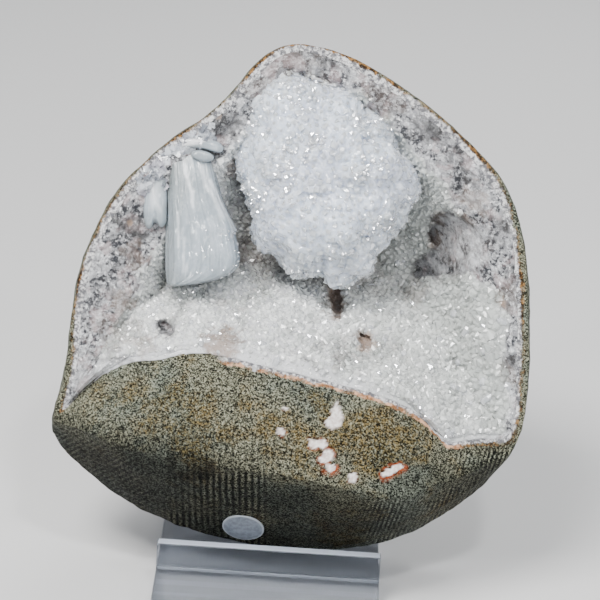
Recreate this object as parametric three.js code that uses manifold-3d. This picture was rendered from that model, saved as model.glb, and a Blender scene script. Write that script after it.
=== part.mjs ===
// A goosecreekite specimen: half of a sawn basalt geode, lined with a crust of quartz
// crystals that carries a large ball of white crystals and a flared goosecreekite
// crystal, set upright in a clear acrylic stand with a front ledge and a sloping back.
//
// Millimetres, +Z up, the open side faces -Y. The origin is the middle of the stand's
// underside. The stone is modelled upright in a frame of its own, x to the right,
// y into the stone and z up, and is then turned a little and leaned back on the stand.

import * as THREE from "three";
import { mergeVertices } from "three/addons/utils/BufferGeometryUtils.js";
import Module from "manifold-3d";

const wasm = await Module();
wasm.setup();

// ---- driving dimensions ----

const STAND_WIDTH = 50.8;
const BASE_DEPTH = 88;
const BASE_THICKNESS = 5;
const LEDGE_HEIGHT = 6.4;
const LEDGE_THICKNESS = 3;
const LEDGE_BACK_Y = -20;
const LEDGE_CLEARANCE = 1.5; // room between the ledge and the stone behind it
const REST_WIDTH = 48;
const REST_THICKNESS = 4;
const REST_HEIGHT = 66;
const GAP = 0.3; // left between pieces that touch

const LEAN = 20; // degrees that the stone and the back rest lean back
const TURN = 3.8; // degrees that the stone is turned, anticlockwise from the front
const STONE_X = 1.45; // the stone's own origin, right of the stand's middle

const SKIN = 1.3; // basalt left around the lining at the rim
const BACK_POLE = [-1, 44, -3];
const HOLLOW_MIDDLE = [-6, 30]; // x and z that all the lines of the hollow run to
const HOLLOW_START = 0.8; // distance from the rim at which the hollow starts to deepen
const HOLLOW_REACH = 36; // distance from the rim at which the hollow is deepest
const SHELL_DEPTH = 36;
const CRUST_DEPTH = 31;
const STEEPNESS = { wall: 3.2, floor: 1.6 }; // how fast the hollow drops from its rim
const RIDGE_SHARE = 0.57; // how far down the front the ridge over the sawn face lies
const RIDGE_SWELL = 4.5; // how far the ridge stands in front of the lip
const SWOLLEN_WIDTHS = [6, 32]; // the swell grows with the front's width between these
const LUMP_SIZE = 11; // of the low lumps all over the basalt
const LUMP_HEIGHT = 0.35;
const BACK_END = 0.2; // how far the back's middle point stands off its last ring
const CRUST_THICKNESS = 2.6; // the least there is between its face and the shell
const SEAT = 1.6; // crust left behind the crystals that sit in it
const CRUST_EDGE = SKIN + GAP + 0.8; // where the crust's face starts inside the rim
const CRUST_BACK_GAP = 1.7 * GAP; // clear of the shell, whose facets differ a little
const FAN_SEAT_GAP = 3 * GAP; // around the flared crystal, where it sits in the crust
const RING_SPREAD = 0.85; // below 1, the rings of the face are closer together near the rim
const SHOULDER_SHARE = 0.15; // the outer part of the face, which has only low lumps
const FACE_LUMPS = { size: 5, height: 0.9 };
const CRYSTAL_TIPS = { least: 1.3, more: 1.5, onShoulder: 0.35 };
const CRYSTAL_STRAY = { outward: 1, sideways: 0.4, widest: 3 }; // of the net's corners
const OPEN_SIDE_Y = -30; // the crystals' tips lean towards a point this far out
const BALL_CRYSTAL = { size: 6, more: 3, sunk: 3.6 };
const BALL_CRYSTAL_REACH = 3.4; // how far the seat keeps off the ball's lobes
const DOT_DIAMETER = 9.5;
const DOT_THICKNESS = 0.5;
const DOT_BEVEL = 0.2;
const DOT_SPOT = [-11, -51]; // x and z of its middle

// The edge of the opening, clockwise from the top: x, y, z. The lower stretch is the
// front lip, which stands furthest forward.
const RIM = [
  [2.3, 0, 57.4], [11.4, 0, 54.8], [20.5, 0, 49.6], [29.8, 0, 43.2], [39, 0, 35.3],
  [46.2, 0, 26.6], [50, 0, 17.6], [51.6, 0, 7.7], [52.2, 0, -5], [51.8, -0.5, -17.3],
  [51, -1.5, -27.4], [48.4, -2.5, -32], [42, -4.5, -32.2], [35.4, -6.5, -33],
  [32.4, -7.4, -30.4], [28, -8.4, -26.4], [19.5, -10, -22.6], [8.4, -10.8, -19.4],
  [-7, -11, -15.6], [-19.4, -10.2, -13], [-29.4, -8.2, -14.4], [-36.2, -6.6, -15.2],
  [-43, -4.4, -18], [-48, -2.4, -21.8], [-52.2, -1, -25.2], [-50.8, 0, -19.5],
  [-49.5, 0, -12], [-48.6, 0, -2], [-46.6, 0, 8], [-42.8, 0, 17], [-37.4, 0, 25.6],
  [-29.3, 0, 33.6], [-19.8, 0, 40.2], [-13.3, 0, 46], [-7.7, 0, 52.5], [-3, 0, 56],
];

// The widest outline of the stone, with a point for each point of the rim.
const GIRTH = [
  [2.5, 4, 58.2], [12, 6, 56], [21.7, 8, 51], [31, 9, 44.5], [40.4, 9, 36.4],
  [47.9, 9, 27.4], [52.1, 10, 18], [53.9, 10, 8], [54.6, 10, -5], [54.3, 10, -18],
  [52.7, 10, -28], [49.4, 10, -36], [43.8, 10, -42.6], [36.5, 11, -48.6],
  [29, 12, -52.8], [20, 12, -56], [9, 12, -57.7], [-3, 12, -57.2], [-15, 11, -55],
  [-25, 10, -52], [-34, 9, -48.2], [-42, 9, -43.6], [-49, 8, -38], [-53.6, 6, -32.4],
  [-54.9, 5, -27.4], [-53, 6, -20], [-51.3, 7, -12], [-50.3, 7, -2], [-48.3, 6, 8],
  [-44.4, 5, 17.3], [-38.7, 4, 26.4], [-30.2, 4, 34.6], [-20.5, 4, 41.2], [-14, 4, 47],
  [-8.4, 4, 53.6], [-3.4, 4, 57.2],
];

// Flat faces left by the saw: the way each one faces, and how deep it bites.
const SAWN_FACES = [
  { faces: [-0.12, -0.62, -0.78], bite: 1.6 },
  { faces: [0.5, -0.5, -0.71], bite: 1.5 },
  { faces: [-0.56, -0.42, -0.72], bite: 1.4 },
  { faces: [0.1, 0.6, -0.8], bite: 2 },
  { faces: [0.75, 0.62, -0.2], bite: 2 },
  { faces: [-0.72, 0.66, -0.22], bite: 2 },
  { faces: [0.5, 0.75, 0.45], bite: 2 },
  { faces: [-0.42, 0.8, 0.45], bite: 2 },
  { faces: [0, 1, -0.05], bite: 2.5 },
];

// Hollows and swells of the crust's face: middle x and z, reach and depth into the stone.
const CRUST_RELIEF = [
  { x: 35.5, z: 12.5, reach: 7.5, depth: 3.2 },
  { x: 29.5, z: 6.5, reach: 3.5, depth: 1.8 },
  { x: 9.7, z: -0.5, reach: 3.2, depth: 3.2 },
  { x: -28.3, z: -6.1, reach: 2.2, depth: 1.3 },
  { x: -15, z: -10, reach: 4, depth: 0.9 },
  { x: 16.6, z: -9, reach: 2.6, depth: 1.5 },
  { x: 50, z: 2.5, reach: 3, depth: 1.4 },
  { x: -16, z: 40, reach: 3.5, depth: 1.8 },
  { x: -6, z: -3, reach: 6, depth: -2.4 },
  { x: 24, z: -3, reach: 7, depth: -2.2 },
  { x: 27, z: 30, reach: 5, depth: -2.4 },
  { x: 33, z: 27, reach: 5, depth: -1.8 },
  { x: -26, z: 1, reach: 6, depth: -2 },
  { x: -12, z: 18, reach: 4, depth: -3 },
];

// The lobes of the ball: middle, radii and the number of crystals spread over each.
const BALL_LOBES = [
  { centre: [7.4, 8, 29.2], radii: [21.2, 15.5, 23.8], crystals: 82 },
  { centre: [13.6, 2, 10.6], radii: [6, 6, 6], crystals: 12 },
  { centre: [1.6, 2, 12], radii: [5.4, 6, 6], crystals: 12 },
];

// Sections of the flared crystal from the top down: height, left, right, front, back.
const FAN_SECTIONS = [
  [36, -27.6, -21, 2.5, 9],
  [31, -28.8, -18.4, 0.8, 12],
  [25, -29.3, -17, -0.4, 14],
  [19, -29.8, -15, -1.2, 15],
  [14.5, -30, -12.4, -1.8, 15],
  [10, -29.8, -12, -2, 15],
  [6.4, -29.2, -13.2, -1.6, 14.5],
  [4.2, -27.6, -15.8, 0, 12.5],
];

// Small blades beside it: foot, tip, width and thickness.
const BLADES = [
  { foot: [-30.6, 5, 31], tip: [-32.2, 0.4, 16.4], width: 6, thickness: 5 },
  { foot: [-29, 5, 27], tip: [-30, 1, 17.6], width: 4.2, thickness: 4.4 },
  { foot: [-24.5, 3, 35.4], tip: [-16.2, 0, 34.2], width: 3, thickness: 3 },
  { foot: [-23.5, 3, 33.6], tip: [-17.4, 0.4, 32.4], width: 3.2, thickness: 3.2 },
];

// The bare band of massive quartz inside the rim: its least width, and how much wider it
// is at both sides, at the left side and at the top.
const BAND = { least: 1.5, sides: 7.5, left: 3, top: -6 };

// The flared crystal's section is a rounded block with flutes in its front.
const FAN_CORNERS = 28;
const FAN_SQUARENESS = 2.8;
const FLUTES = { round: 10, depth: 0.045 };

const STEPS_ROUND = 60; // corners round the stone
const CRUST_RINGS = 16; // rings of the crust's face, which has 6 more corners in each

const material = (color, roughness) =>
  new THREE.MeshStandardMaterial({ color, roughness, metalness: 0 });
const BASALT = material(0x4a4a42, 0.8);
const QUARTZ = material(0xd3d5d4, 0.35);
const BALL_WHITE = material(0xdfe3e8, 0.25);
const FAN_WHITE = material(0xd5dbdd, 0.2);
const FILM = material(0x8f959c, 0.5);
const ACRYLIC = material(0xdfe6ee, 0.05);

// ---- small tools ----

const radians = THREE.MathUtils.degToRad;
const mix = THREE.MathUtils.lerp;
const smooth = THREE.MathUtils.smoothstep;

// The same random numbers on every run.
function randomFrom(seed) {
  let state = seed;
  return () => {
    state = (state + 0x6d2b79f5) | 0;
    let t = Math.imul(state ^ (state >>> 15), 1 | state);
    t = (t + Math.imul(t ^ (t >>> 7), 61 | t)) ^ t;
    return ((t ^ (t >>> 14)) >>> 0) / 4294967296;
  };
}

function latticeValue(i, j, k) {
  let h = Math.imul(i, 374761393) + Math.imul(j, 668265263) + Math.imul(k, 2147483647);
  h = Math.imul(h ^ (h >>> 13), 1274126177);
  return ((h ^ (h >>> 16)) >>> 0) / 2147483648 - 1;
}

// Smooth noise between -1 and 1.
function noise(x, y, z) {
  const [i, j, k] = [x, y, z].map(Math.floor);
  const [u, v, w] = [x - i, y - j, z - k].map((f) => f * f * (3 - 2 * f));
  const row = (dj, dk) =>
    mix(latticeValue(i, j + dj, k + dk), latticeValue(i + 1, j + dj, k + dk), u);
  return mix(mix(row(0, 0), row(1, 0), v), mix(row(0, 1), row(1, 1), v), w);
}

// Triangles between two rings of points, each spread evenly from the same start. The ring
// with fewer corners steps first where both are level, so that the same two rings give the
// same triangles in either order.
function between(ringStart, ringCount, nextStart, nextCount) {
  const faces = [];
  let [i, j] = [0, 0];
  while (i < ringCount || j < nextCount) {
    const [a, d] = [ringStart + (i % ringCount), nextStart + (j % nextCount)];
    const lead = (i + 1) / ringCount - (j + 1) / nextCount;
    const ringFirst = lead < 0 || (lead === 0 && ringCount <= nextCount);
    if (j >= nextCount || (i < ringCount && ringFirst)) {
      i++;
      faces.push(a, ringStart + (i % ringCount), d);
    } else {
      j++;
      faces.push(a, nextStart + (j % nextCount), d);
    }
  }
  return faces;
}

// A closed mesh from rings of points, with a single point at each end.
function skinOf(rings) {
  const starts = rings.map((_, k) => rings.slice(0, k).flat().length);
  const faces = rings.slice(1).flatMap((ring, k) =>
    between(starts[k], rings[k].length, starts[k + 1], ring.length),
  );
  const solidFaces = [];
  for (let i = 0; i < faces.length; i += 3) {
    const corners = faces.slice(i, i + 3);
    if (new Set(corners).size === 3) solidFaces.push(...corners);
  }
  const positions = new Float32Array(rings.flat().flatMap((p) => p.toArray()));
  return new THREE.BufferGeometry()
    .setAttribute("position", new THREE.BufferAttribute(positions, 3))
    .setIndex(solidFaces);
}

function solidOf(geometry) {
  const bare = geometry.clone();
  bare.deleteAttribute("normal");
  bare.deleteAttribute("uv");
  const merged = mergeVertices(bare, 1e-4);
  const made = new wasm.Manifold(
    new wasm.Mesh({
      numProp: 3,
      vertProperties: merged.attributes.position.array,
      triVerts: new Uint32Array(merged.index.array),
    }),
  );
  if (made.volume() < 0) throw new Error("a solid is inside out");
  return made;
}

function geometryOf(solid) {
  const { vertProperties, triVerts } = solid.getMesh();
  return new THREE.BufferGeometry()
    .setAttribute("position", new THREE.BufferAttribute(vertProperties, 3))
    .setIndex(new THREE.BufferAttribute(triVerts, 1));
}

function named(name, geometry, look) {
  const mesh = new THREE.Mesh(geometry, look);
  mesh.name = name;
  return mesh;
}

const largestPiece = (solid) =>
  solid.decompose().sort((a, b) => b.volume() - a.volume())[0];

// ---- the stone's outline ----

const curveThrough = (points) =>
  new THREE.CatmullRomCurve3(
    points.map((p) => new THREE.Vector3(...p)),
    true,
    "catmullrom",
    0.5,
  );
const rimCurve = curveThrough(RIM);
const girthCurve = curveThrough(GIRTH);
const evenSteps = (count) => Array.from({ length: count }, (_, i) => i / count);
const roundSteps = evenSteps(STEPS_ROUND);
const HOLLOW_SHARES = [0.05, 0.13, 0.25, 0.4, 0.6, 0.82];
const hollowMiddle = new THREE.Vector3(HOLLOW_MIDDLE[0], 0, HOLLOW_MIDDLE[1]);

// The rim moved inwards by a distance, towards the hollow's middle, and into the stone.
function insideRim(t, distance, deeper) {
  const p = rimCurve.getPoint(t);
  const along = rimCurve.getPoint((t + 0.005) % 1).sub(rimCurve.getPoint((t + 0.995) % 1));
  const inward = new THREE.Vector3(along.z, 0, -along.x).normalize();
  const towards = new THREE.Vector3(HOLLOW_MIDDLE[0] - p.x, 0, HOLLOW_MIDDLE[1] - p.z);
  towards.normalize();
  const step = distance / Math.max(0.55, inward.dot(towards));
  return p.addScaledVector(towards, step).setY(p.y + deeper);
}

// How wide the bare band of massive quartz is, between the rim and the crystals.
function shoulderWidth(p) {
  const atSides = BAND.sides * smooth(p.z, -24, -2) + BAND.left * smooth(-p.x, 20, 45);
  const atTop = BAND.top * smooth(p.z, 30, 52);
  return BAND.least + (atSides + atTop) * smooth(p.y, -4, -0.5);
}

// What the rim is like around a place in the hollow: how far off it is, its depth, and
// how steeply the hollow drops there. Its upper side drops like a wall, and the part
// behind the lip slopes like a floor.
const rimSamples = evenSteps(180).map((t) => {
  const p = rimCurve.getPoint(t);
  const steepness = mix(STEEPNESS.wall, STEEPNESS.floor, smooth(-p.z, -2, 14));
  return { p, steepness, shoulder: shoulderWidth(p) };
});
function rimAround(x, z) {
  const around = { distance: Infinity, y: 0, steepness: 0, shoulder: 0 };
  let total = 0;
  for (const { p, steepness, shoulder } of rimSamples) {
    const squared = (p.x - x) ** 2 + (p.z - z) ** 2;
    const weight = 1 / (squared + 0.5) ** 2;
    around.distance = Math.min(around.distance, Math.sqrt(squared));
    around.y += weight * p.y;
    around.steepness += weight * steepness;
    around.shoulder += weight * shoulder;
    total += weight;
  }
  around.y /= total;
  around.steepness /= total;
  around.shoulder /= total;
  return around;
}

// A bowl's depth at a distance inside its edge.
function bowlDepth(edgeY, depth, distance, steepness) {
  const share = Math.min(1, Math.max(0, distance) / HOLLOW_REACH);
  return mix(edgeY, depth, 1 - (1 - share) ** steepness);
}

// The hollow of the shell, drawn in from all sides by an inset.
function hollowDepth(x, z, inset) {
  const rim = rimAround(x, z);
  const distance = rim.distance - HOLLOW_START - inset;
  return bowlDepth(rim.y, SHELL_DEPTH - 1.5 * inset, distance, rim.steepness);
}

// The inside of the hollow from its edge inwards, with fewer corners the deeper it is.
function hollowRings(makeEdge, inset) {
  const counts = [54, 48, 36, 30, 24, 12];
  const rings = HOLLOW_SHARES.map((share, k) =>
    evenSteps(counts[k]).map((t) => {
      const p = makeEdge(t).lerp(hollowMiddle, share);
      return p.setY(hollowDepth(p.x, p.z, inset));
    }),
  );
  const deepest = hollowDepth(...HOLLOW_MIDDLE, inset);
  return [...rings, [hollowMiddle.clone().setY(deepest)]];
}

// ---- basalt ----

// A point of the front between the rim, at 0, and the girth, at 1. The broken face above
// the ridge swells forward, and the sawn face below it falls back to the girth.
function frontPoint(t, share) {
  const rim = rimCurve.getPoint(t);
  const girth = girthCurve.getPoint(t);
  const width = Math.hypot(girth.x - rim.x, girth.z - rim.z);
  const ridgeY = rim.y - RIDGE_SWELL * smooth(width, ...SWOLLEN_WIDTHS);
  const above = Math.min(1, share / RIDGE_SHARE);
  const below = Math.max(0, (share - RIDGE_SHARE) / (1 - RIDGE_SHARE));
  const onBroken = mix(rim.y, ridgeY, Math.sin((Math.PI / 2) * above));
  return new THREE.Vector3(
    mix(rim.x, girth.x, share),
    mix(onBroken, girth.y, below ** 1.25),
    mix(rim.z, girth.z, share),
  );
}

// A point of the back between the girth, at 0 degrees, and the back pole, at 90.
function backPoint(t, degrees) {
  const girth = girthCurve.getPoint(t);
  const wide = Math.cos(radians(degrees)) ** 0.8;
  const deep = Math.sin(radians(degrees)) ** 0.85;
  return new THREE.Vector3(
    mix(BACK_POLE[0], girth.x, wide),
    mix(girth.y, BACK_POLE[1], deep),
    mix(BACK_POLE[2], girth.z, wide),
  );
}

// The outside with its sawn faces: what stands past one is brought back to its plane.
function sawn(rings) {
  const points = rings.flat();
  for (const { faces, bite } of SAWN_FACES) {
    const normal = new THREE.Vector3(...faces).normalize();
    const plane = Math.max(...points.map((p) => p.dot(normal))) - bite;
    for (const p of points) {
      p.addScaledVector(normal, -Math.max(0, p.dot(normal) - plane));
    }
  }
  return rings;
}

function roughened(p) {
  const push = LUMP_HEIGHT * noise(p.x / LUMP_SIZE, p.y / LUMP_SIZE, p.z / LUMP_SIZE);
  return p.add(new THREE.Vector3(p.x, 0, p.z).normalize().multiplyScalar(push));
}

function basaltShell() {
  const frontShares = [0.15, 0.3, 0.45, RIDGE_SHARE, 0.7, 0.8, 0.9, 0.96];
  const backAngles = [0, 14, 28, 42, 58, 76];
  const outside = sawn([
    ...frontShares.map((s) => roundSteps.map((t) => frontPoint(t, s))),
    ...backAngles.map((a) => roundSteps.map((t) => backPoint(t, a))),
  ]);
  outside.slice(0, -1).forEach((ring) => ring.forEach(roughened));
  const edge = roundSteps.map((t) => rimCurve.getPoint(t));
  const makeMouth = (t) => insideRim(t, SKIN, 0);
  const hollow = hollowRings(makeMouth, 0).reverse();
  const backPole = new THREE.Vector3(...BACK_POLE);
  backPole.y = Math.min(...outside.at(-1).map((p) => p.y)) + BACK_END;
  return skinOf([...hollow, roundSteps.map(makeMouth), edge, ...outside, [backPole]]);
}

// ---- quartz crust ----

function relief(p) {
  const dents = CRUST_RELIEF.map(({ x, z, reach, depth }) => {
    const away = Math.hypot(p.x - x, p.z - z) / reach;
    return depth * Math.exp(-(away ** 3));
  });
  return dents.reduce((sum, d) => sum + d, 0);
}

// A point of the crust's face: 0 at the rim, and 1 at the middle. A shoulder of massive
// quartz slopes in from the rim, and the crystals' floor drops away behind it.
function crustFace(t, share) {
  const p = insideRim(t, CRUST_EDGE, 0).lerp(hollowMiddle, share);
  const rim = rimAround(p.x, p.z);
  const past = rim.distance - CRUST_EDGE;
  const onShoulder = 0.1 + 0.5 * Math.min(rim.shoulder, Math.max(0, past));
  const edgeY = rim.y + onShoulder;
  p.y = bowlDepth(edgeY, CRUST_DEPTH, past - rim.shoulder, rim.steepness);
  const { size, height } = FACE_LUMPS;
  const lumps = height * noise(p.x / size, p.y / size, p.z / size);
  p.y += (relief(p) + lumps) * smooth(share, 0.02, 0.2);
  const behind = hollowDepth(p.x, p.z, 0) - CRUST_THICKNESS * smooth(share, 0, 0.1);
  return p.setY(Math.min(p.y, behind));
}

// In a net with 6 more corners in each ring, every third corner is the point of a crystal
// with six flat faces, and the rest lie between the crystals.
function isTip(ring, i) {
  const corners = [[1, 0], [0, 1], [-1, 1], [-1, 0], [0, -1], [1, -1], [1, 0]];
  const sector = Math.floor(i / ring);
  const [from, to] = [corners[sector], corners[sector + 1]];
  const along = i % ring;
  const column = from[0] * (ring - along) + to[0] * along;
  const row = from[1] * (ring - along) + to[1] * along;
  return (((column - row) % 3) + 3) % 3 === 0;
}

// A corner of the net, moved to shape the crystals: they stand tall on the floor, and
// are low lumps on the massive quartz. It keeps off the line of the next corner.
function crystalCorner(p, next, tip, share, random) {
  const outward = p.clone().sub(hollowMiddle).setY(0).normalize();
  const sideways = new THREE.Vector3(outward.z, 0, -outward.x);
  const toNext = Math.abs(next.clone().sub(p).dot(sideways));
  const room = Math.min(CRYSTAL_STRAY.widest, toNext);
  const onFloor = smooth(share, 0.6 * SHOULDER_SHARE, 1.4 * SHOULDER_SHARE);
  const growth = mix(CRYSTAL_TIPS.onShoulder, 1, onFloor);
  p.addScaledVector(outward, CRYSTAL_STRAY.outward * growth * (random() - 0.5));
  p.addScaledVector(sideways, CRYSTAL_STRAY.sideways * room * (random() - 0.5));
  if (!tip) return p;
  const towardsOpening = hollowMiddle.clone().setY(OPEN_SIDE_Y).sub(p).normalize();
  const height = CRYSTAL_TIPS.least + CRYSTAL_TIPS.more * random();
  return p.addScaledVector(towardsOpening, growth * height);
}

function crustLining() {
  const random = randomFrom(7);
  const face = [[crustFace(0, 1)]];
  for (let ring = 1; ring <= CRUST_RINGS; ring++) {
    const share = 1 - (ring / CRUST_RINGS) ** RING_SPREAD;
    const points = evenSteps(6 * ring).map((t) => crustFace(t, share));
    const shaped = points.map((p, i) => {
      const next = points[(i + 1) % points.length];
      return crystalCorner(p.clone(), next, isTip(ring, i), share, random);
    });
    face.push(share > 0 ? shaped : points);
  }
  const makeEdge = (t) => insideRim(t, SKIN + CRUST_BACK_GAP, -0.1);
  const back = hollowRings(makeEdge, CRUST_BACK_GAP);
  return skinOf([...face, roundSteps.map(makeEdge), ...back]);
}

// The room in the hollow that crystals may take up: it stops short of the shell.
function hollowRoom(inset) {
  const makeEdge = (t) => insideRim(t, SKIN + GAP + inset, -0.5);
  const edge = evenSteps(54).map(makeEdge);
  const front = edge.map((p) => new THREE.Vector3(p.x, 2 * OPEN_SIDE_Y, p.z));
  const frontMiddle = hollowMiddle.clone().setY(2 * OPEN_SIDE_Y);
  const inside = hollowRings(makeEdge, GAP + inset);
  return solidOf(skinOf([[frontMiddle], front, edge, ...inside]));
}

// ---- ball of crystals ----

// Directions spread evenly over a sphere.
function evenDirections(count) {
  return Array.from({ length: count }, (_, i) => {
    const up = 1 - (2 * i + 1) / count;
    const round = Math.sqrt(1 - up * up);
    const angle = i * Math.PI * (3 - Math.sqrt(5));
    return new THREE.Vector3(round * Math.cos(angle), up, round * Math.sin(angle));
  });
}

function ellipsoid({ centre, radii }, detail, grow) {
  return new THREE.IcosahedronGeometry(1, detail)
    .scale(...radii.map((r) => r + grow))
    .translate(...centre);
}

// A blocky crystal, sunk in the ball so that a corner or an edge of it stands out.
function blockCrystal(foot, random) {
  const size = BALL_CRYSTAL.size + BALL_CRYSTAL.more * random();
  const turn = new THREE.Euler(random() * 6.3, random() * 6.3, random() * 6.3);
  return new THREE.BoxGeometry(size, size * (0.7 + 0.3 * random()), size * 0.8)
    .applyMatrix4(new THREE.Matrix4().makeRotationFromEuler(turn))
    .translate(...foot.toArray());
}

// The ball: its lobes, with blocky crystals all over the side that faces out.
function crystalBall() {
  const random = randomFrom(21);
  const solids = [];
  for (const lobe of BALL_LOBES) {
    solids.push(solidOf(ellipsoid(lobe, 2, 0)));
    for (const direction of evenDirections(lobe.crystals)) {
      if (direction.y > 0.45) continue;
      const foot = direction
        .clone()
        .multiply(new THREE.Vector3(...lobe.radii))
        .addScaledVector(direction, -BALL_CRYSTAL.sunk)
        .add(new THREE.Vector3(...lobe.centre));
      solids.push(solidOf(blockCrystal(foot, random)));
    }
  }
  return wasm.Manifold.union(solids);
}

// The space that the ball takes up behind the crust's face, grown by the gap.
function ballSpace() {
  const grown = BALL_LOBES.map((lobe) => ellipsoid(lobe, 3, BALL_CRYSTAL_REACH));
  return wasm.Manifold.union(grown.map(solidOf));
}

// ---- flared crystal and its blades ----

// One section of the flared crystal: a rounded block with shallow flutes in front.
function fanRing([z, left, right, front, back], grow) {
  const power = FAN_SQUARENESS;
  return Array.from({ length: FAN_CORNERS }, (_, i) => {
    const angle = (2 * Math.PI * i) / FAN_CORNERS;
    const across = Math.cos(angle);
    const deep = Math.sin(angle);
    const squared = (Math.abs(across) ** power + Math.abs(deep) ** power) ** (-1 / power);
    const fluted = FLUTES.depth * Math.cos(FLUTES.round * angle) * (deep < 0 ? 1 : 0);
    const reach = squared * (1 + fluted);
    return new THREE.Vector3(
      (left + right) / 2 + across * reach * ((right - left) / 2 + grow),
      (front + back) / 2 + deep * reach * ((back - front) / 2 + grow),
      z,
    );
  });
}

function fanBody(grow) {
  const rings = FAN_SECTIONS.map((section) => fanRing(section, grow));
  const [top, bottom] = [FAN_SECTIONS[0], FAN_SECTIONS.at(-1)];
  const poleOf = ([z, left, right, front, back], up) => [
    new THREE.Vector3((left + right) / 2, (front + back) / 2, z + up),
  ];
  return skinOf([poleOf(bottom, -0.7 - grow), ...rings.reverse(), poleOf(top, 1 + grow)]);
}

// A flat rounded blade that stands on its foot and narrows to its tip.
function blade({ foot, tip, width, thickness }, grow) {
  const [a, b] = [foot, tip].map((p) => new THREE.Vector3(...p));
  const length = a.distanceTo(b) + 2 * grow;
  const body = new THREE.SphereGeometry(1, 8, 6);
  const positions = body.attributes.position;
  for (let i = 0; i < positions.count; i++) {
    const [x, y, z] = [positions.getX(i), positions.getY(i), positions.getZ(i)];
    const blunt = 1 + 0.25 * (1 - y * y);
    positions.setXYZ(i, x * blunt, y, z * blunt);
  }
  const turn = new THREE.Quaternion().setFromUnitVectors(
    new THREE.Vector3(0, 1, 0),
    b.clone().sub(a).normalize(),
  );
  return body
    .scale(width / 2.5 + grow, length / 2, thickness / 2.5 + grow)
    .applyQuaternion(turn)
    .translate(...a.add(b).multiplyScalar(0.5).toArray());
}

const fanGroup = (grow) =>
  wasm.Manifold.union([
    solidOf(fanBody(grow)),
    ...BLADES.map((b) => solidOf(blade(b, grow))),
  ]);

// ---- adhesive dot ----

// The dot lies on the first sawn face, turned to face as the sawn plane does.
function adhesiveDot(shell) {
  const normal = new THREE.Vector3(...SAWN_FACES[0].faces).normalize();
  const start = new THREE.Vector3(DOT_SPOT[0], 2 * OPEN_SIDE_Y, DOT_SPOT[1]);
  const ray = new THREE.Raycaster(start, new THREE.Vector3(0, 1, 0));
  const hit = ray.intersectObject(new THREE.Mesh(shell, BASALT))[0].point;
  const positions = shell.attributes.position;
  const reach = Array.from({ length: positions.count }, (_, i) =>
    new THREE.Vector3().fromBufferAttribute(positions, i).sub(hit),
  ).filter((p) => p.length() < DOT_DIAMETER);
  const proud = Math.max(0, ...reach.map((p) => p.dot(normal))) + 0.1;
  const radius = DOT_DIAMETER / 2;
  const disc = new THREE.CylinderGeometry(radius - DOT_BEVEL, radius, DOT_THICKNESS, 28);
  const turn = new THREE.Quaternion().setFromUnitVectors(
    new THREE.Vector3(0, 1, 0),
    normal,
  );
  const middle = hit.addScaledVector(normal, proud + DOT_THICKNESS / 2);
  return disc.applyQuaternion(turn).translate(...middle.toArray());
}

// ---- stone ----

function makeStone() {
  const shell = basaltShell();
  const room = hollowRoom(SEAT);
  const ball = crystalBall().intersect(room);
  const fan = fanGroup(0).intersect(room);
  const seats = ballSpace().add(fanGroup(FAN_SEAT_GAP)).intersect(hollowRoom(SEAT - GAP));
  const forward = solidOf(shell.clone().translate(0, -GAP, 0));
  const crust = largestPiece(solidOf(crustLining()).subtract(forward).subtract(seats));
  const stone = new THREE.Group();
  stone.add(
    named("basalt_shell", shell, BASALT),
    named("quartz_crust", geometryOf(crust), QUARTZ),
    named("goosecreekite_ball", geometryOf(ball), BALL_WHITE),
    named("goosecreekite_fan", geometryOf(fan), FAN_WHITE),
    named("adhesive_dot", adhesiveDot(shell), FILM),
  );
  return stone;
}

// ---- stand ----

// A strip of sheet with the given outline in the YZ plane, centred across X.
function strip(outline, width) {
  const shape = new THREE.Shape(outline.map(([y, z]) => new THREE.Vector2(y, z)));
  const axes = new THREE.Matrix4().makeBasis(
    new THREE.Vector3(0, 1, 0),
    new THREE.Vector3(0, 0, 1),
    new THREE.Vector3(1, 0, 0),
  );
  return new THREE.ExtrudeGeometry(shape, { depth: width, bevelEnabled: false })
    .applyMatrix4(axes)
    .translate(-width / 2, 0, 0);
}

const rectangle = (y0, y1, z0, z1) => [[y0, z0], [y1, z0], [y1, z1], [y0, z1]];

// The furthest that the stone's points reach along a direction, below a height.
function furthest(points, direction, below = Infinity) {
  const low = points.filter((p) => p.z < below);
  return Math.max(...low.map((p) => p.dot(direction)));
}

function makeStand(stonePoints) {
  const base = rectangle(-BASE_DEPTH / 2, BASE_DEPTH / 2, 0, BASE_THICKNESS);
  const ledgeTop = BASE_THICKNESS + LEDGE_HEIGHT;
  const ledge = rectangle(
    LEDGE_BACK_Y - LEDGE_THICKNESS,
    LEDGE_BACK_Y,
    BASE_THICKNESS,
    ledgeTop,
  );
  const lean = radians(LEAN);
  const outward = new THREE.Vector3(0, Math.cos(lean), -Math.sin(lean));
  const face = furthest(stonePoints, outward) + GAP;
  const faceY = (z) => (face + z * Math.sin(lean)) / Math.cos(lean);
  const restTop = BASE_THICKNESS + REST_HEIGHT;
  const sheet = REST_THICKNESS / Math.cos(lean);
  const rest = [
    [faceY(BASE_THICKNESS), BASE_THICKNESS],
    [faceY(BASE_THICKNESS) + sheet, BASE_THICKNESS],
    [faceY(restTop) + sheet, restTop],
    [faceY(restTop), restTop],
  ];
  const stand = new THREE.Group();
  stand.add(
    named("stand_base", strip(base, STAND_WIDTH), ACRYLIC),
    named("stand_ledge", strip(ledge, STAND_WIDTH), ACRYLIC),
    named("stand_back_rest", strip(rest, REST_WIDTH), ACRYLIC),
  );
  return stand;
}

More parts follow.
